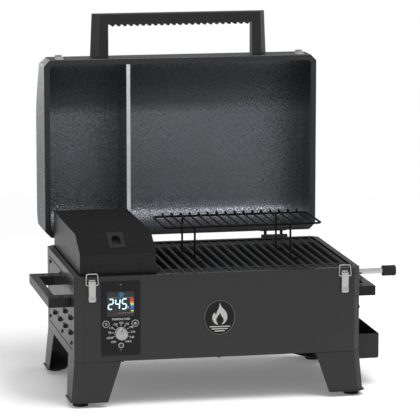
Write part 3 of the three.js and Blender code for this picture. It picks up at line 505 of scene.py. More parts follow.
def screw_head(parts, centre, outward, radius=3.2, height=1.5):
    """A domed screw head with a round driving recess."""
    recess = radius * 0.42
    profile = [
        (0, height * 0.25), (recess * 0.8, height * 0.25), (recess, height * 0.95), (radius * 0.6, height),
        (radius * 0.88, height * 0.62), (radius, height * 0.12), (radius, -0.6), (0, -0.6),
    ]
    lathe(parts, profile, centre, outward, 20)


def screws(name, heads, slot, body="cabinet"):
    """Screw heads as one piece. Each is its centre, the way it faces, its radius and its height."""
    parts = bmesh.new()
    for head in heads:
        screw_head(parts, *head)
    publish(name, parts, [FINISH[slot]], body, slot)


def lathed(node, profile, origin, axis, sides, angle=32, materials=None):
    """A node made again as a smooth body of revolution."""
    parts = bmesh.new()
    lathe(parts, profile, origin, axis, sides)
    publish_node(node, parts, materials, angle=angle)


# ---- cabinet ----

def foot(node):
    low, high = span(node)
    centre = (low + high) / 2
    radius = (high.x - low.x) / 2
    height = high.z - low.z
    profile = [(0, 0.8), (radius - 4, 0.8), (radius - 3.6, 0)]
    profile += arc((radius - 1.4, 1.4), (1.4, 1.4), -90, 0, 5)
    groove = radius - 0.9
    profile += [(radius, height - 4), (groove, height - 3.4), (groove, height - 2.6), (radius, height - 2)]
    profile += arc((radius - 1.6, height - 1.6), (1.6, 1.6), 0, 90, 4) + [(0, height)]
    lathed(node, profile, (centre.x, centre.y, low.z), (0, 0, 1), 40)


def scoop(parts, wall, y, z, reach=6.2, up=5.4, down=4.2, length=34):
    """One pressed scoop: a hood that swells from the wall towards a shallow mouth at its front."""
    steps, stations = 12, 7
    rows = []
    for k in range(stations):
        t = k / (stations - 1)
        swell = math.sin(math.pi / 2 * t) ** 0.8
        row = []
        for i in range(steps + 1):
            a = math.pi * i / steps
            w = up * math.cos(a) if i <= steps / 2 else down * math.cos(a)
            out = reach * swell * math.sin(a)
            place_z = z + w * (0.35 + 0.65 * swell)
            row.append(parts.verts.new((wall + 0.3 - out, y + length / 2 - length * t, place_z)))
        rows.append(row)
    centre = Vector((wall + 0.3, 0, z))
    for share, inward in ((0.84, 0.1), (0.78, 1.2), (0.6, 2.6)):
        row = []
        for vertex in rows[stations - 1]:
            spot = centre + (vertex.co - centre) * share
            spot.y = vertex.co.y + inward
            row.append(parts.verts.new(spot))
        rows.append(row)
    skin(parts, rows)
    parts.faces.new(rows[-1])


def vent_panel():
    """The removable vent panel, its scoops, a dark gasket in the seam round it and its screws."""
    low, high = span("vent_panel")
    wall = -HALF_W
    panel = bmesh.new()
    block(panel, (wall, low.y, low.z), (high.x, high.y, high.z))
    for z in (50, 80):
        for y in (-119, -51, 17, 85):
            scoop(panel, wall, y, z)
    publish_node("vent_panel", panel, bevel=0.3, angle=60)
    gasket = bmesh.new()
    seam = 2.0
    for y0, y1, z0, z1 in (
        (low.y - seam, low.y + 0.1, low.z - seam, high.z + seam),
        (high.y - 0.1, high.y + seam, low.z - seam, high.z + seam),
        (low.y, high.y, low.z - seam, low.z + 0.1), (low.y, high.y, high.z - 0.1, high.z + seam),
    ):
        block(gasket, (wall - 0.15, y0, z0), (wall + 0.6, y1, z1))
    publish("vent_gasket", gasket, [RUBBER], "cabinet", "rubber")
    spots = ((-6, high.z - 6.4), (high.y - 15, high.z - 8), (low.y + 6, low.z + 11), (-22, low.z + 11),
             (high.y - 9, low.z + 10))
    screws("vent_screws", [((wall, y, z), (-1, 0, 0), 4.0, 2.4) for y, z in spots], "plastic")


def cabinet_screws():
    """Screws in the side wall, the handles and the housing's underside."""
    black = bmesh.new()
    for side in (-1, 1):
        low, high = span("side_handle_right")
        for y in (low.y + 12, high.y - 12):
            screw_head(black, (side * (HALF_W + 17), y, high.z), (0, 0, 1), 2.6, 1.1)
    screw_head(black, (HALF_W, -172.8, 88), (1, 0, 0), 3.2, 1.5)
    for x in (-194, 1):
        screw_head(black, (x, 5.5 - HALF_D, 0), (0, 0, -1), 3.4, 2.4)
    publish("cabinet_screws", black, [PLASTIC], "cabinet", "plastic")


def leaf_screws(name, leaf, spot, outward):
    """Three screws in each hinge leaf of one kind. spot gives a screw's y and z from the leaf's corners."""
    heads = []
    for side in SIDES:
        low, high = span(f"{leaf}_{side}")
        for share in (0.18, 0.5, 0.82):
            heads.append(((low.x + (high.x - low.x) * share, *spot(low, high)), outward, 3.0, 1.3))
    screws(name, heads, "steel", BODY_OF[f"{leaf}_left"])


refined("housing", 0.7, 3, pierced=True)
vent_panel()
cabinet_screws()
leaf_screws("hinge_screws", "hinge_body_leaf", lambda low, high: (HALF_D + 2.3, low.z + 10), (0, 1, 0))
leaf_screws("hinge_lid_screws", "hinge_lid_leaf", lambda low, high: (high.y - 10, low.z), (0, 0, -1))
for row in ("front", "rear"):
    for side in SIDES:
        refined(f"leg_{row}_{side}", 0.7, pierced=True)
        foot(f"foot_{row}_{side}")
for side in SIDES:
    refined(f"side_handle_{side}", 0.62, 3)
    refined(f"hinge_body_leaf_{side}", 0.35)
    refined(f"hinge_pin_{side}", 0.3)
refined("divider_wall", 0.3)
refined("power_inlet", 0.5)
refined("controller_box", 1.2)
refined("grease_tray", 0.5)

# ---- lid ----

LID_BASE = HINGE.z + span("lid_shell")[0].y - HINGE.y
LID_FRONT = [(374, 60), (371, 66), (362, 71), (347, 78), (333, 86), (318, 94.5), (300, 104), (282, 111.5),
             (262, 118), (244, 121)]
LID_REAR = [(50, 121), (31, 118.5), (15, 108.5), (5, 96), (0, 84)]
OPEN = (Matrix.Translation((0, HINGE.y, HINGE.z)) @ Matrix.Rotation(-math.pi / 2, 4, "X")
        @ Matrix.Translation((0, -HINGE.y, -HINGE.z)))


def cut_corner_plan(half_x, half_y, corner):
    x, y = half_x - corner, half_y - corner
    return [
        (x, -half_y), (half_x, -y), (half_x, y), (x, half_y),
        (-x, half_y), (-half_x, y), (-half_x, -y), (-x, -half_y),
    ]


def lid_shell():
    """The pressed lid: one curved sheet with folded-in ends and a flat rim, drawn shut and then opened."""
    front, rear = (smooth_line([(*p, 0) for p in line], n) for line, n in ((LID_FRONT, 4), (LID_REAR, 5)))
    section = [(374, 0), (374, 30), *front, (147, 121), *rear, (0, 40), (0, 0)]
    section = [(HALF_D - p[0], LID_BASE + p[1]) for p in section]
    parts = bmesh.new()
    rows = []
    for x, limit in (
        (-HALF_W, HALF_D - CORNER), (CORNER - HALF_W, HALF_D),
        (HALF_W - CORNER, HALF_D), (HALF_W, HALF_D - CORNER),
    ):
        rows.append([parts.verts.new((x, max(-limit, min(limit, y)), z)) for y, z in section])
    skin(parts, rows)
    for row in (rows[0], rows[-1]):
        parts.faces.new(row)
    inner_half_corner = CORNER - RIM * (2 - math.sqrt(2))
    inner = [parts.verts.new((x, y, LID_BASE))
             for x, y in cut_corner_plan(HALF_W - RIM, HALF_D - RIM, inner_half_corner)]
    outer = [rows[k][end] for k, end in ((2, 0), (3, 0), (3, -1), (2, -1), (1, -1), (0, -1), (0, 0), (1, 0))]
    for i in range(8):
        j = (i + 1) % 8
        parts.faces.new([outer[i], outer[j], inner[j], inner[i]]).material_index = 1
    bmesh.ops.remove_doubles(parts, verts=parts.verts, dist=0.01)
    bmesh.ops.transform(parts, matrix=OPEN, verts=parts.verts)
    publish_node("lid_shell", parts, [HAMMER, GRIP_BLACK], bevel=1.6, segments=3, angle=24, sheet=SHEET)


def lid_handle_screws():
    """Two screws on each upright's foot, seen from inside the lid."""
    y, z = span("lid_handle")[0].y + 13, span("lid_shell")[1].z - SHEET
    heads = [((side * x, y, z), (0, 0, -1), 2.4, 1.2) for side in (-1, 1) for x in (158, 166)]
    screws("lid_handle_screws", heads, "steel", "lid")


lid_shell()
lid_handle_screws()
refined("lid_divider", 0.4)
refined("divider_trim", 0.5)
refined("lid_handle", 1.2, 3, 50, materials=[GRIP_BLACK])
for side in SIDES:
    refined(f"strike_{side}", 0.3)
    refined(f"hinge_lid_leaf_{side}", 0.35)

# ---- latches ----

def latch_lever(side):
    """A folded lever: a channel with rounded shoulders that ends in a lip bent out for a finger."""
    node = f"latch_lever_{side}"
    low, high = span(node)
    x = LATCH[side]
    face = low.y
    top = high.z - 0.4
    parts = bmesh.new()
    # Each station is a height, half a width and how far the face lies behind the front.
    stations = [
        (top, 7.4, 1.6), (top - 1.2, 7.4, 0.5), (top - 3, 7.4, 0.2), (150, 7.2, 0.5), (138, 7.0, 1.0),
        (133, 7.0, 1.3), (131.5, 7.4, 1.0), (130, 7.6, 0.5), (127, 7.6, 0.1), (125, 7.4, 0.1),
        (123.4, 6.7, 0.3), (122.2, 5.4, 0.7), (121.6, 3.8, 1.3),
    ]
    rows = []
    for z, half, inset in stations:
        deep = 3.2 if z > 150 else max(0.6, 2.2 * (z - 128) / 22)
        front = face + inset
        points = [(-half, front + 1.3 + deep), (-half, front + 1.3)]
        points += [(-half + 1.3 - 1.3 * math.cos(a), front + 1.3 - 1.3 * math.sin(a))
                   for a in (math.pi * 0.17, math.pi * 0.33, math.pi * 0.5)]
        points += [(-half * 0.4, front), (half * 0.4, front)]
        points += [(-px, py) for px, py in reversed(points[:5])]
        rows.append([parts.verts.new((x + px, py, z)) for px, py in points])
    skin(parts, rows)
    publish_node(node, parts, sheet=0.8)


def latch_bail(side):
    """The wire bail, bent from one length, with its two ends turned in to the lever."""
    node = f"latch_bail_{side}"
    low, high = span(node)
    x, r = LATCH[side], BAIL_R
    foot_y, head_y = low.y + r, high.y - r
    foot_z, head_z = low.z + r, high.z - r
    parts = bmesh.new()
    points = [(-6.4, foot_y, foot_z), (-12.2, foot_y, foot_z), (-11.0, head_y, head_z),
              (11.0, head_y, head_z), (12.2, foot_y, foot_z), (6.4, foot_y, foot_z)]
    sweep(parts, [(x + dx, y, z) for dx, y, z in points], r, bend=3.2, sides=12)
    publish_node(node, parts, angle=50)


def latch_base(side):
    """A narrow plate riveted to the housing, with two ears that carry the lever's pivot."""
    node = f"latch_base_{side}"
    low, high = span(node)
    x = LATCH[side]
    parts = bmesh.new()
    block(parts, (x - 6.2, high.y - 1.2, low.z + 9), (x + 6.2, high.y, high.z))
    for ear in (-1, 1):
        outline = [(high.y - 1, 156), (low.y + 2.6, 157), (low.y + 0.4, 159.4), (low.y, 161.5),
                   (low.y + 0.8, 164), (low.y + 2.8, 165), (high.y - 1, 165)]
        prism(parts, outline, "x", x + ear * 5.2 - 0.5, x + ear * 5.2 + 0.5)
    publish_node(node, parts, bevel=0.3, angle=50)


for side in SIDES:
    latch_base(side)
    latch_lever(side)
    latch_bail(side)

# ---- control panel ----

PANEL_LOW, PANEL_HIGH = span("control_panel")
PANEL_FACE = PANEL_LOW.y
WINDOW_LOW, WINDOW_HIGH = span("display_window")
WINDOW_FACE = WINDOW_LOW.y
DIAL_AT = middle("temperature_knob")
DIAL_AT = Vector((DIAL_AT.x, PANEL_FACE, DIAL_AT.z))
PRINT = 0.12

SEGMENTS = {"2": "abged", "4": "fgbc", "5": "afgcd"}


def flat(parts, outline, face, thick=PRINT, index=0):
    """A flat printed or lit shape on a surface that faces the front. The outline is (x, z)."""
    prism(parts, outline, "y", face - thick, face, index)


def bar(parts, x0, z0, x1, z1, width, face, pointed=0.5, index=0):
    """A straight bar between two points with pointed ends."""
    start, end = Vector((x0, z0)), Vector((x1, z1))
    along = (end - start).normalized()
    across = Vector((-along.y, along.x)) * width / 2
    tip = along * width * pointed
    outline = [start, start + tip + across, end - tip + across, end, end - tip - across, start + tip - across]
    flat(parts, [tuple(p) for p in outline], face, index=index)


def ring(parts, x, z, outer, inner, face, steps=32, index=0):
    """A flat printed ring."""
    for i in range(steps):
        a, b = TAU * i / steps, TAU * (i + 1) / steps
        corners = ((inner, a), (outer, a), (outer, b), (inner, b))
        outline = [(x + r * math.cos(t), z + r * math.sin(t)) for r, t in corners]
        flat(parts, outline, face, index=index)


def digit(parts, character, x, z, width, height, face, thick, slant=0.1):
    """One seven-segment digit with its lower left corner at x, z."""
    gap = thick * 0.16
    left, right, low, mid, top = 0, width, 0, height / 2, height
    strokes = {
        "a": (left, top, right, top), "b": (right, top, right, mid), "c": (right, mid, right, low),
        "d": (left, low, right, low), "e": (left, mid, left, low), "f": (left, top, left, mid),
        "g": (left, mid, right, mid),
    }
    for name in SEGMENTS[character]:
        x0, z0, x1, z1 = strokes[name]
        start, end = Vector((x0 + slant * z0, z0)), Vector((x1 + slant * z1, z1))
        along = (end - start).normalized() * gap
        start, end = start + along, end - along
        bar(parts, x + start.x, z + start.y, x + end.x, z + end.y, thick, face)


def words(parts, text, x, z, size, face):
    """Printed letters or figures, centred on x, z."""
    curve = bpy.data.curves.new("figures", "FONT")
    curve.body = text
    curve.size = size
    curve.extrude = PRINT / 2
    curve.align_x = "CENTER"
    curve.align_y = "CENTER"
    holder = new_object("figures", curve)
    bpy.context.view_layer.update()
    mesh = bpy.data.meshes.new_from_object(holder.evaluated_get(bpy.context.evaluated_depsgraph_get()))
    bpy.data.objects.remove(holder)
    mesh.transform(Matrix.Translation((x, face - PRINT / 2, z)) @ Matrix.Rotation(math.pi / 2, 4, "X"))
    parts.from_mesh(mesh)
    bpy.data.meshes.remove(mesh)


def display():
    """The lit parts of the display: a temperature, a row of marks, a fan sign and a coloured level bar."""
    low, high = WINDOW_LOW, WINDOW_HIGH
    face = WINDOW_FACE
    wide, tall = high.x - low.x, high.z - low.z
    colours = {
        "figures": ((0.62, 0.95, 1.0), 1.5), "blue": ((0.06, 0.3, 0.55), 0.8),
        "red": ((0.62, 0.06, 0.05), 0.8), "orange": ((0.7, 0.2, 0.05), 0.9),
        "yellow": ((0.75, 0.65, 0.1), 1.0), "green": ((0.25, 0.75, 0.4), 0.9),
        "deep_blue": ((0.03, 0.16, 0.7), 0.9),
        "dim_red": ((0.2, 0.03, 0.035), 0.5), "line": ((0.4, 0.38, 0.4), 0.5),
    }
    names = list(colours)
    parts = bmesh.new()
    foot_z = low.z + tall * 0.30
    height = tall * 0.40
    for i, character in enumerate("245"):
        digit(parts, character, low.x + wide * (0.05 + 0.245 * i), foot_z, wide * 0.155, height, face, 2.3)
    bar_x = low.x + wide * 0.84
    levels = [("red", 0.60, 0.73), ("orange", 0.535, 0.595), ("yellow", 0.475, 0.53), ("green", 0.43, 0.47),
              ("deep_blue", 0.29, 0.425), ("yellow", 0.19, 0.24)]
    for name, z0, z1 in levels:
        inset = wide * 0.03 * (0.73 - z1) / 0.5
        outline = [(bar_x + inset, low.z + tall * z0), (high.x - 1.5, low.z + tall * z0),
                   (high.x - 1.5, low.z + tall * z1), (bar_x + inset, low.z + tall * z1)]
        flat(parts, outline, face, index=names.index(name))
    for z in (0.755, 0.135):
        x0 = low.x + (1.5 if z > 0.5 else wide * 0.4)
        bar(parts, x0, low.z + tall * z, high.x - 1.5, low.z + tall * z, 0.7, face, 0, names.index("line"))
    hub_x, hub_z = low.x + wide * 0.53, low.z + tall * 0.88
    ring(parts, hub_x, hub_z, 4.6, 3.8, face, 24, names.index("blue"))
    for k in range(3):
        turn = TAU * k / 3
        blade = [(hub_x + r * math.cos(turn + t), hub_z + r * math.sin(turn + t))
                 for r, t in ((0.6, 0), (3.2, -0.3), (3.4, 0.25), (2.4, 0.75), (0.6, 1.2))]
        flat(parts, blade, face, index=names.index("blue"))
    for x0, x1 in ((0.03, 0.1), (0.27, 0.4), (0.58, 0.68)):
        for k in range(3):
            z = low.z + tall * (0.045 + 0.03 * k)
            end = low.x + wide * (x1 - 0.02 * k)
            bar(parts, low.x + wide * x0, z, end, z, 0.9, face, 0.2, names.index("dim_red"))
    unit_x, unit_z = low.x + wide * 0.77, foot_z + 1.4
    for dz in (0, 2.4):
        bar(parts, unit_x - 1.2, unit_z + dz, unit_x + 1.2, unit_z + dz, 0.8, face, 0.3)
    lights = [lit(f"lit_{name}", *colour) for name, colour in colours.items()]
    publish("display_figures", parts, lights, "cabinet", "display")


def dial_print():
    """The printed scale round the dial and the rings round the buttons."""
    parts = bmesh.new()
    labels = ["OFF", "LOW", "90", "110", "130", "150", "170", "190", "210", "230", "MAX"]
    for i, label in enumerate(labels):
        turn = math.radians(232 - 284 * i / (len(labels) - 1))
        way = Vector((math.cos(turn), math.sin(turn)))
        if 0 < i < len(labels) - 1:
            bar(parts, DIAL_AT.x + way.x * 14.6, DIAL_AT.z + way.y * 14.6,
                DIAL_AT.x + way.x * 18, DIAL_AT.z + way.y * 18, 0.8, PANEL_FACE, 0)
        reach = Vector((24 if len(label) > 2 else 22.5, 20.5 if way.y > 0 else 22))
        words(parts, label, DIAL_AT.x + way.x * reach.x, DIAL_AT.z + way.y * reach.y, 5.8, PANEL_FACE)
    for side in SIDES:
        low, high = span(f"button_{side}")
        ring(parts, (low.x + high.x) / 2, (low.z + high.z) / 2, 6.9, 6.15, PANEL_FACE)
    words(parts, "TEMPERATURE", DIAL_AT.x, DIAL_AT.z + 28.2, 5.6, PANEL_FACE)
    publish("dial_print", parts, [INK], "cabinet", "panel_black")


def temperature_knob():
    """A turned metal knob: a fine knurl round its side, a dished face and an inlaid pointer."""
    low, high = span("temperature_knob")
    radius = (high.x - low.x) / 2 - 0.5
    front = PANEL_FACE - low.y
    parts = bmesh.new()
    sides = 96
    profile = [(0, 0.4), (radius - 0.4, 0.4), (radius, 0.8), (radius, 2.2)]
    lathe(parts, profile + [(radius - 0.8, 2.8), (radius - 0.8, front - 2.0), (radius - 1.6, front - 1.1),
                            (radius - 2.4, front - 1.0), (0, front - 1.2)], DIAL_AT, (0, -1, 0), sides)
    for vertex in parts.verts:
        depth = PANEL_FACE - vertex.co.y
        flat_offset = Vector((vertex.co.x - DIAL_AT.x, vertex.co.z - DIAL_AT.z))
        if 2.6 < depth < front - 1.5 and flat_offset.length > radius - 1:
            turn = math.atan2(flat_offset.y, flat_offset.x)
            grow = 1 + 0.025 * math.cos(turn * sides / 2)
            vertex.co.x = DIAL_AT.x + flat_offset.x * grow
            vertex.co.z = DIAL_AT.z + flat_offset.y * grow
    face = DIAL_AT.y - (front - 1.0)
    bar(parts, DIAL_AT.x, DIAL_AT.z + 4, DIAL_AT.x, DIAL_AT.z + radius - 3, 1.2, face, 0.3, 1)
    publish_node("temperature_knob", parts, [KNOB_FACE, PLASTIC], angle=40)


def push_button(side):
    node = f"button_{side}"
    low, high = span(node)
    centre = ((low.x + high.x) / 2, PANEL_FACE, (low.z + high.z) / 2)
    radius = (high.x - low.x) / 2
    proud = PANEL_FACE - low.y
    parts = bmesh.new()
    profile = [(0, -4.4), (2.5, -4.4), (2.5, -2.6), (radius, -2.6), (radius, proud - 0.7)]
    profile += arc((radius - 0.7, proud - 0.7), (0.7, 0.7), 0, 90, 4)
    profile += [(radius * 0.5, proud - 0.1), (0, proud - 0.25)]
    lathe(parts, profile, centre, (0, -1, 0), 40)
    publish_node(node, parts)
    sign = bmesh.new()
    face = low.y + 0.25
    if side == "left":
        for dz in (-1.3, 1.3):
            bar(sign, centre[0] - 2.8, centre[2] + dz, centre[0] + 2.8, centre[2] + dz, 0.9, face, 0.3)
    else:
        ring(sign, centre[0], centre[2], 2.4, 1.5, face, 20)
        bar(sign, centre[0], centre[2] + 0.6, centre[0], centre[2] + 3.4, 0.9, face, 0.3)
    publish(f"button_sign_{side}", sign, [INK], BODY_OF[node], "plastic")


def probe_jack():
    low, high = span("probe_jack")
    radius = (high.x - low.x) / 2
    proud = PANEL_FACE - low.y
    at = ((low.x + high.x) / 2, PANEL_FACE, (low.z + high.z) / 2)
    parts = bmesh.new()
    rim = [(4.2, -4.4), (4.2, 0.3), (radius, 0.3), (radius, proud - 0.5), (radius - 0.5, proud),
           (4.2, proud), (3.7, proud - 0.6), (3.7, -3.4), (0, -3.4)]
    lathe(parts, rim, at, (0, -1, 0), 40)
    lathe(parts, [(0, -4.4), (4.2, -4.4)], at, (0, -1, 0), 40)
    bmesh.ops.remove_doubles(parts, verts=parts.verts, dist=0.001)
    publish_node("probe_jack", parts)
    sleeve = bmesh.new()
    wall = [(1.6, -3.3), (3.6, -3.3), (3.6, proud - 0.8), (1.6, proud - 0.8)]
    lathe(sleeve, wall, at, (0, -1, 0), 32, closed=True)
    publish("probe_jack_sleeve", sleeve, [PLASTIC], "cabinet", "plastic")


def panel_screws():
    heights = (PANEL_HIGH.z - 6.5, PANEL_LOW.z + 11)
    heads = [((DIAL_AT.x, PANEL_FACE, z), (0, -1, 0), 1.9, 0.9) for z in heights]
    screws("panel_screws", heads, "steel")


def badge():
    """An oval badge: a dark field in a bright rim with a raised flame over three grill bars."""
    low, high = span("badge_plate")
    centre = (low + high) / 2
    half_x, half_z = (high.x - low.x) / 2, (high.z - low.z) / 2
    back, front = high.y, low.y
    steps = 72
    parts = bmesh.new()
    loops = [
        (1.0, back), (1.0, front + 1.2), (0.99, front + 0.6), (0.975, front + 0.4), (0.96, front + 0.6),
        (0.95, front + 1.3),
    ]
    rows = []
    for share, y in loops:
        shrink = (1 - share) * half_x
        rows.append([
            parts.verts.new((centre.x + (half_x - shrink) * math.cos(TAU * i / steps), y,
                             centre.z + (half_z - shrink) * math.sin(TAU * i / steps)))
            for i in range(steps)
        ])
    skin(parts, rows, around=True)
    parts.faces.new(rows[0])
    parts.faces.new(rows[-1]).material_index = 1
    publish_node("badge_plate", parts, [STEEL, PANEL])
    emblem = bmesh.new()
    field = front + 1.3
    flame = [
        (0, 25), (3.5, 17), (9, 11), (12.5, 3), (12, -5), (8, -11), (3, -13.5), (6.5, -8), (6, -3), (2.5, 2),
        (0.5, 7), (-2, 3), (-4.6, -1), (-6, -6), (-3, -13.5), (-8.5, -11), (-12.5, -4), (-12, 3), (-8.5, 8),
        (-6.4, 3.5), (-4.5, 10), (-1.2, 17),
    ]
    curve = smooth_line([(x, z, 0) for x, z in flame + flame[:1]], 3)[:-1]
    prism(emblem, [(centre.x + p.x * 1.2, centre.z + 1 + p.y * 1.15) for p in curve], "y", field - 1.1, field)
    for z, half in ((-18.6, 21), (-23, 16.5), (-27.4, 10.5)):
        at_z = centre.z + z
        outline = rounded_box(centre.x - half, centre.x + half, at_z - 1.1, at_z + 1.1, 1.0, 3)
        prism(emblem, outline, "y", field - 0.9, field)
    publish("badge_emblem", emblem, [NICKEL], "cabinet", "stainless", bevel=0.25, segments=2, angle=50)


refined("control_panel", 0.4)
refined("display_window", 0.2)
display()
dial_print()
temperature_knob()
push_button("left")
push_button("right")
probe_jack()
panel_screws()
badge()

# ---- hopper ----

def hopper_screws():
    front = span("hopper_bin")[0].y
    screws("hopper_screws", [((x, front, 191.8), (0, -1, 0), 3.8, 2.2) for x in (-239.7, -156.3)], "plastic")


refined("hopper_bin", 0.6, materials=[SATIN, HOPPER_TOP], pierced=True)
refined("hopper_lid", 0.7, 3, materials=[HOPPER_TOP])
refined("hopper_pull", 0.4)
refined("hopper_guard", 0.3, pierced=True)
refined("hopper_hinge_pin", 0.2, materials=[SATIN])
hopper_screws()

# ---- burn system ----

refined("auger_tube", 0.3)
refined("auger_screw", 0.2, 1, 60)
refined("auger_motor", 0.8)
refined("fan_housing", 0.5)
refined("fan_impeller", 0.3)
refined("fire_pot", 0.4)
refined("igniter_rod", 0.3)
refined("chamber_probe", 0.4)
refined("broiler_base", 0.4, materials=[ASH], pierced=True)
refined("broiler_slider", 0.4)

ROD_LOW, ROD_HIGH = span("broiler_rod")
ROD_AT = (ROD_LOW + ROD_HIGH) / 2
ROD_R = (ROD_HIGH.z - ROD_LOW.z) / 2


def broiler_rod():
    length = ROD_HIGH.x - ROD_LOW.x
    face = ROD_R - 0.6
    profile = [(0, 0), (face, 0), (ROD_R, 0.6), (ROD_R, length - 0.6), (face, length), (0, length)]
    origin = (ROD_LOW.x, ROD_AT.y, ROD_AT.z)
    lathed("broiler_rod", profile, origin, (1, 0, 0), 40, materials=[POLISHED])


def broiler_knob():
    """A moulded grip with soft ends and shallow grooves round it, open where the rod goes in."""
    low, high = span("broiler_knob")
    radius, length = (high.z - low.z) / 2, high.x - low.x
    bore, deep = ROD_R + 0.25, ROD_HIGH.x + 0.5 - low.x
    profile = [(0, deep), (bore, deep), (bore, 0.6), (bore + 0.6, 0)]
    profile += arc((radius - 1.5, 1.5), (1.5, 1.5), -90, 0, 6)
    for groove in range(4):
        x = length * (0.3 + 0.13 * groove)
        profile += [(radius, x - 1.0), (radius - 0.45, x - 0.4), (radius - 0.45, x + 0.4), (radius, x + 1.0)]
    profile += arc((radius - 1.5, length - 1.5), (1.5, 1.5), 0, 90, 6) + [(0, length)]
    lathed("broiler_knob", profile, (low.x, ROD_AT.y, ROD_AT.z), (1, 0, 0), 48, 50)


broiler_rod()
broiler_knob()

# ---- grates ----

BAR_FIRST, BAR_PITCH, BAR_COUNT, BAR_HALF = -104.5, 19.6, 20, 3.5
TIE_Y = 128
WIRE_FIRST, WIRE_PITCH, WIRE_COUNT, WIRE_R = -65, 18.9, 16, 1.9
RACK_LEGS_X, RACK_WIRE_R, RACK_TOP = (-24, 174), 2.2, 242


def main_grate():
    """Cast bars with crowned tops and rounded ends, on a rim and cross ties."""
    low, high = span("main_grate")
    parts = bmesh.new()
    rim, corner = 5, 9
    outer = [(low.x, low.y), (high.x - corner, low.y), (high.x, low.y + corner), (high.x, high.y - corner),
             (high.x - corner, high.y), (low.x, high.y)]
    cut = corner + 2
    inner = [(low.x + rim, low.y + rim), (high.x - cut, low.y + rim), (high.x - rim, low.y + cut),
             (high.x - rim, high.y - cut), (high.x - cut, high.y - rim), (low.x + rim, high.y - rim)]
    top, base = high.z - 2.4, low.z
    rows = [[parts.verts.new((x, y, z)) for x, y in loop]
            for loop, z in ((outer, base), (outer, top), (inner, top), (inner, base))]
    skin(parts, rows + rows[:1], around=True)
    for i in range(BAR_COUNT):
        x = BAR_FIRST + BAR_PITCH * i
        crowned_bar(parts, x, low.y + 1.2, high.y - 1.2, low.z + 1, high.z)
    for side in (-1, 1):
        block(parts, (low.x + 1, side * TIE_Y - 3, low.z + 0.6), (high.x - 1, side * TIE_Y + 3, high.z - 0.5))
        y0, y1 = sorted((side * (high.y - 1), side * TIE_Y))
        block(parts, (low.x + 1, y0, high.z - 6), (high.x - 10, y1, high.z - 3))
    publish_node("main_grate", parts, bevel=0.5, angle=50)


def crowned_bar(parts, x, y0, y1, z0, z1):
    """One bar, wider at the top than below, with a crowned top and ends that slope down."""
    section = [(-2.2, z0), (2.2, z0), (3.1, z1 - 4.2), (BAR_HALF, z1 - 1.7), (2.6, z1 - 0.35), (0, z1),
               (-2.6, z1 - 0.35), (-BAR_HALF, z1 - 1.7), (-3.1, z1 - 4.2)]
    stations = [(y0, 3.2), (y0 + 1.2, 1.4), (y0 + 3.6, 0.25), (y0 + 6, 0), (y1 - 6, 0), (y1 - 3.6, 0.25),
                (y1 - 1.2, 1.4), (y1, 3.2)]
    rows = []
    for y, drop in stations:
        rows.append([parts.verts.new((x + dx, y, z - drop * (z - z0) / (z1 - z0))) for dx, z in section])
    skin(parts, rows, around=True)
    parts.faces.new(rows[0])
    parts.faces.new(rows[-1])


def upper_rack():
    """A wire rack: a bent frame, cross wires that rise to a peak at the back, and four bent legs."""
    low = span("upper_rack")[0]
    frame_z, r = RACK_TOP, RACK_WIRE_R
    foot_z = low.z + r
    y0, y1, x0, x1 = -62, 74, -82, 232
    parts = bmesh.new()
    loop = [(x0 + 60, y0, frame_z), (x1, y0, frame_z), (x1 + 6, y0 + 6, frame_z), (x1 + 6, y1 - 6, frame_z),
            (x1, y1, frame_z), (x0, y1, frame_z), (x0 - 3, y1 - 5, frame_z), (x0 - 3, y0 + 5, frame_z),
            (x0, y0, frame_z)]
    sweep(parts, loop + [(x0 + 59, y0, frame_z)], r, bend=4, sides=12)
    for i in range(WIRE_COUNT):
        x = WIRE_FIRST + WIRE_PITCH * i
        top = frame_z + 1.4
        run = [(x, y0 - 0.5, top), (x, y1 - 15, top), (x, y1 - 3, top + 5.6), (x, y1 + 1.6, top + 4.8),
               (x, y1 + 1, top)]
        sweep(parts, run, WIRE_R, bend=1.2, sides=10)
    for x in RACK_LEGS_X:
        for y, inward, lean in ((y0, 3.4, -8), (y1, -3.4, -24)):
            foot_x = x + 0.2 * lean
            run = [(x, y + inward, frame_z - 1), (x, y + inward * 0.6, frame_z - 5),
                   (foot_x, y + lean, foot_z), (foot_x + 14, y + lean, foot_z)]
            sweep(parts, run, r, bend=3, sides=12)
    publish_node("upper_rack", parts, [WIRE], angle=50)


main_grate()
upper_rack()

# ---- floor, light and camera ----

GROUND = span("foot_front_left")[0].z
FLOOR_BOUNCE = 0.4
LEFT_GLOW = 0.44
FRONT_GLOW = 0.1
DIM_GLOW = 0.375
BACK_GLOW = 0.22


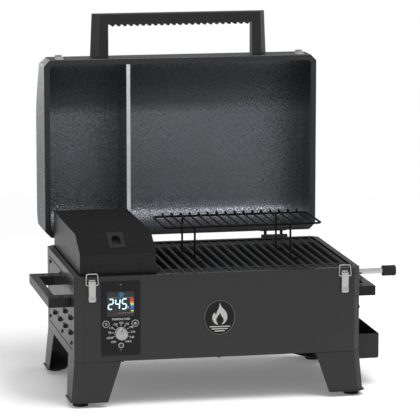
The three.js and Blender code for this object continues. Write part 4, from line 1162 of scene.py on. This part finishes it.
def studio_floor():
    """A pale floor that turns plain white away from the grill, and that the grill sees dimmer. Near the grill
    it also glows faintly, which is painted light: it lightens the grill's shadows on the floor and the light
    the floor sends back to the grill.
    """
    half = 60
    mesh = bpy.data.meshes.new("floor")
    corners = [(x * half, y * half, GROUND * MM) for x, y in ((-1, -1), (1, -1), (1, 1), (-1, 1))]
    mesh.from_pydata(corners, [], [(0, 1, 2, 3)])
    floor = new_object("floor", mesh)
    material, tree = new_tree("pale_floor")
    at = place(tree)
    faint = noise(tree, at, 3, 3.0)
    reach = add(tree, "ShaderNodeVectorMath", {0: at}, operation="LENGTH").outputs["Value"]
    far = remap(tree, reach, 1.3, 2.6)
    camera_ray = add(tree, "ShaderNodeLightPath").outputs["Is Camera Ray"]
    seen = mix(tree, faint, rgba((0.86, 0.86, 0.86)), rgba((0.88, 0.88, 0.88)))
    tone = mix(tree, camera_ray, rgba((FLOOR_BOUNCE,) * 3), seen)
    # Painted light: a faint glow over the floor, stronger for the camera, that lightens the grill's shadows
    # on it and brightens the floor as the grill sees it.
    painted_glow_lift = remap(tree, camera_ray, 0, 1, 0.12, 0.15)
    paint = add(tree, "ShaderNodeBsdfPrincipled", {
        "Base Color": tone, "Roughness": 0.9, "Specular IOR Level": 0.1,
        "Emission Color": (1, 1, 1, 1), "Emission Strength": painted_glow_lift,
    })
    level = remap(tree, camera_ray, 0, 1, FLOOR_BOUNCE, 1.0)
    plain = add(tree, "ShaderNodeEmission", {"Color": (1, 1, 1, 1), "Strength": level})
    both = add(tree, "ShaderNodeMixShader", {0: far, 1: paint.outputs[0], 2: plain.outputs[0]}).outputs[0]
    add(tree, "ShaderNodeOutputMaterial", {"Surface": both})
    mesh.materials.append(material)
    return floor


def studio_world():
    """An even white surround for the camera, and a dimmer, uneven one that lights the grill."""
    world = bpy.data.worlds.new("studio")
    world.use_nodes = True
    tree = world.node_tree
    tree.nodes.clear()
    way = add(tree, "ShaderNodeTexCoord").outputs["Generated"]
    parts = add(tree, "ShaderNodeSeparateXYZ", {0: way})
    left = remap(tree, parts.outputs["X"], 0.1, -0.9, 0.0, LEFT_GLOW)
    front = remap(tree, parts.outputs["Y"], 0.2, -0.8, 0.0, FRONT_GLOW)
    back = remap(tree, parts.outputs["Y"], 0.3, 0.9, DIM_GLOW, BACK_GLOW)
    glow = plus(tree, left, front)
    level = plus(tree, glow, back)
    lighting = add(tree, "ShaderNodeBackground", {"Color": (1, 1, 1, 1), "Strength": level}).outputs[0]
    seen = add(tree, "ShaderNodeBackground", {"Color": (1, 1, 1, 1), "Strength": 1.0}).outputs[0]
    camera_ray = add(tree, "ShaderNodeLightPath").outputs["Is Camera Ray"]
    both = add(tree, "ShaderNodeMixShader", {0: camera_ray, 1: lighting, 2: seen}).outputs[0]
    add(tree, "ShaderNodeOutputWorld", {"Surface": both})
    bpy.context.scene.world = world


def soft_light(name, where, aim, size, power, only=()):
    """A soft rectangular light. With only given, it lights nothing but those objects."""
    lamp = bpy.data.lights.new(name, "AREA")
    lamp.shape = "RECTANGLE"
    lamp.size, lamp.size_y = size
    lamp.energy = power
    holder = new_object(name, lamp)
    holder.visible_camera = False
    holder.location = where
    holder.rotation_euler = (Vector(aim) - Vector(where)).to_track_quat("-Z", "Y").to_euler()
    if only:
        receivers = bpy.data.collections.new(f"{name}_receivers")
        for piece in only:
            receivers.objects.link(piece)
        holder.light_linking.receiver_collection = receivers


CAMERA_AZIMUTH, CAMERA_ELEVATION = -11.45, 10.38
CAMERA_DISTANCE, CAMERA_LENS = 5.975, 250.6
CAMERA_SHIFT = (0.0225, 0.1093)
CAMERA_TARGET = Vector((0, 0, 0.171))


def studio_camera():
    """A long lens, to the left of the grill and a little above it. The target is level with the rim."""
    data = bpy.data.cameras.new("camera")
    data.sensor_width = 36
    data.lens = CAMERA_LENS
    data.shift_x, data.shift_y = CAMERA_SHIFT
    data.clip_end = 200
    holder = new_object("camera", data)
    azimuth, elevation = math.radians(CAMERA_AZIMUTH), math.radians(CAMERA_ELEVATION)
    level = math.cos(elevation)
    back = Vector((math.sin(azimuth) * level, -math.cos(azimuth) * level, math.sin(elevation)))
    holder.location = CAMERA_TARGET + back * CAMERA_DISTANCE
    holder.rotation_mode = "QUATERNION"
    holder.rotation_quaternion = (-back).to_track_quat("-Z", "Y")
    bpy.context.scene.camera = holder


floor = studio_floor()
studio_world()
soft_light("floor_light", (1.2, -0.75, 3.6), (0, 0, 0), (2.6, 2.6), 132, [floor])
soft_light("overhead", (-0.2, -0.7, 2.6), (0, 0.15, 0.2), (2.0, 0.8), 10)
lid_pieces = [bpy.data.objects[f"{node}_finish"] for node in ("lid_shell", "lid_divider", "divider_trim")]
soft_light("lid_key", (1.3, -2.4, 2.3), (0, 0.2, 0.32), (1.6, 0.9), 34, lid_pieces)
soft_light("lid_side", (-1.3, 3.2, 0.8), (-0.29, 0.3, 0.3), (1.5, 1.3), 12, lid_pieces)
studio_camera()
bpy.context.scene.view_settings.view_transform = "Standard"
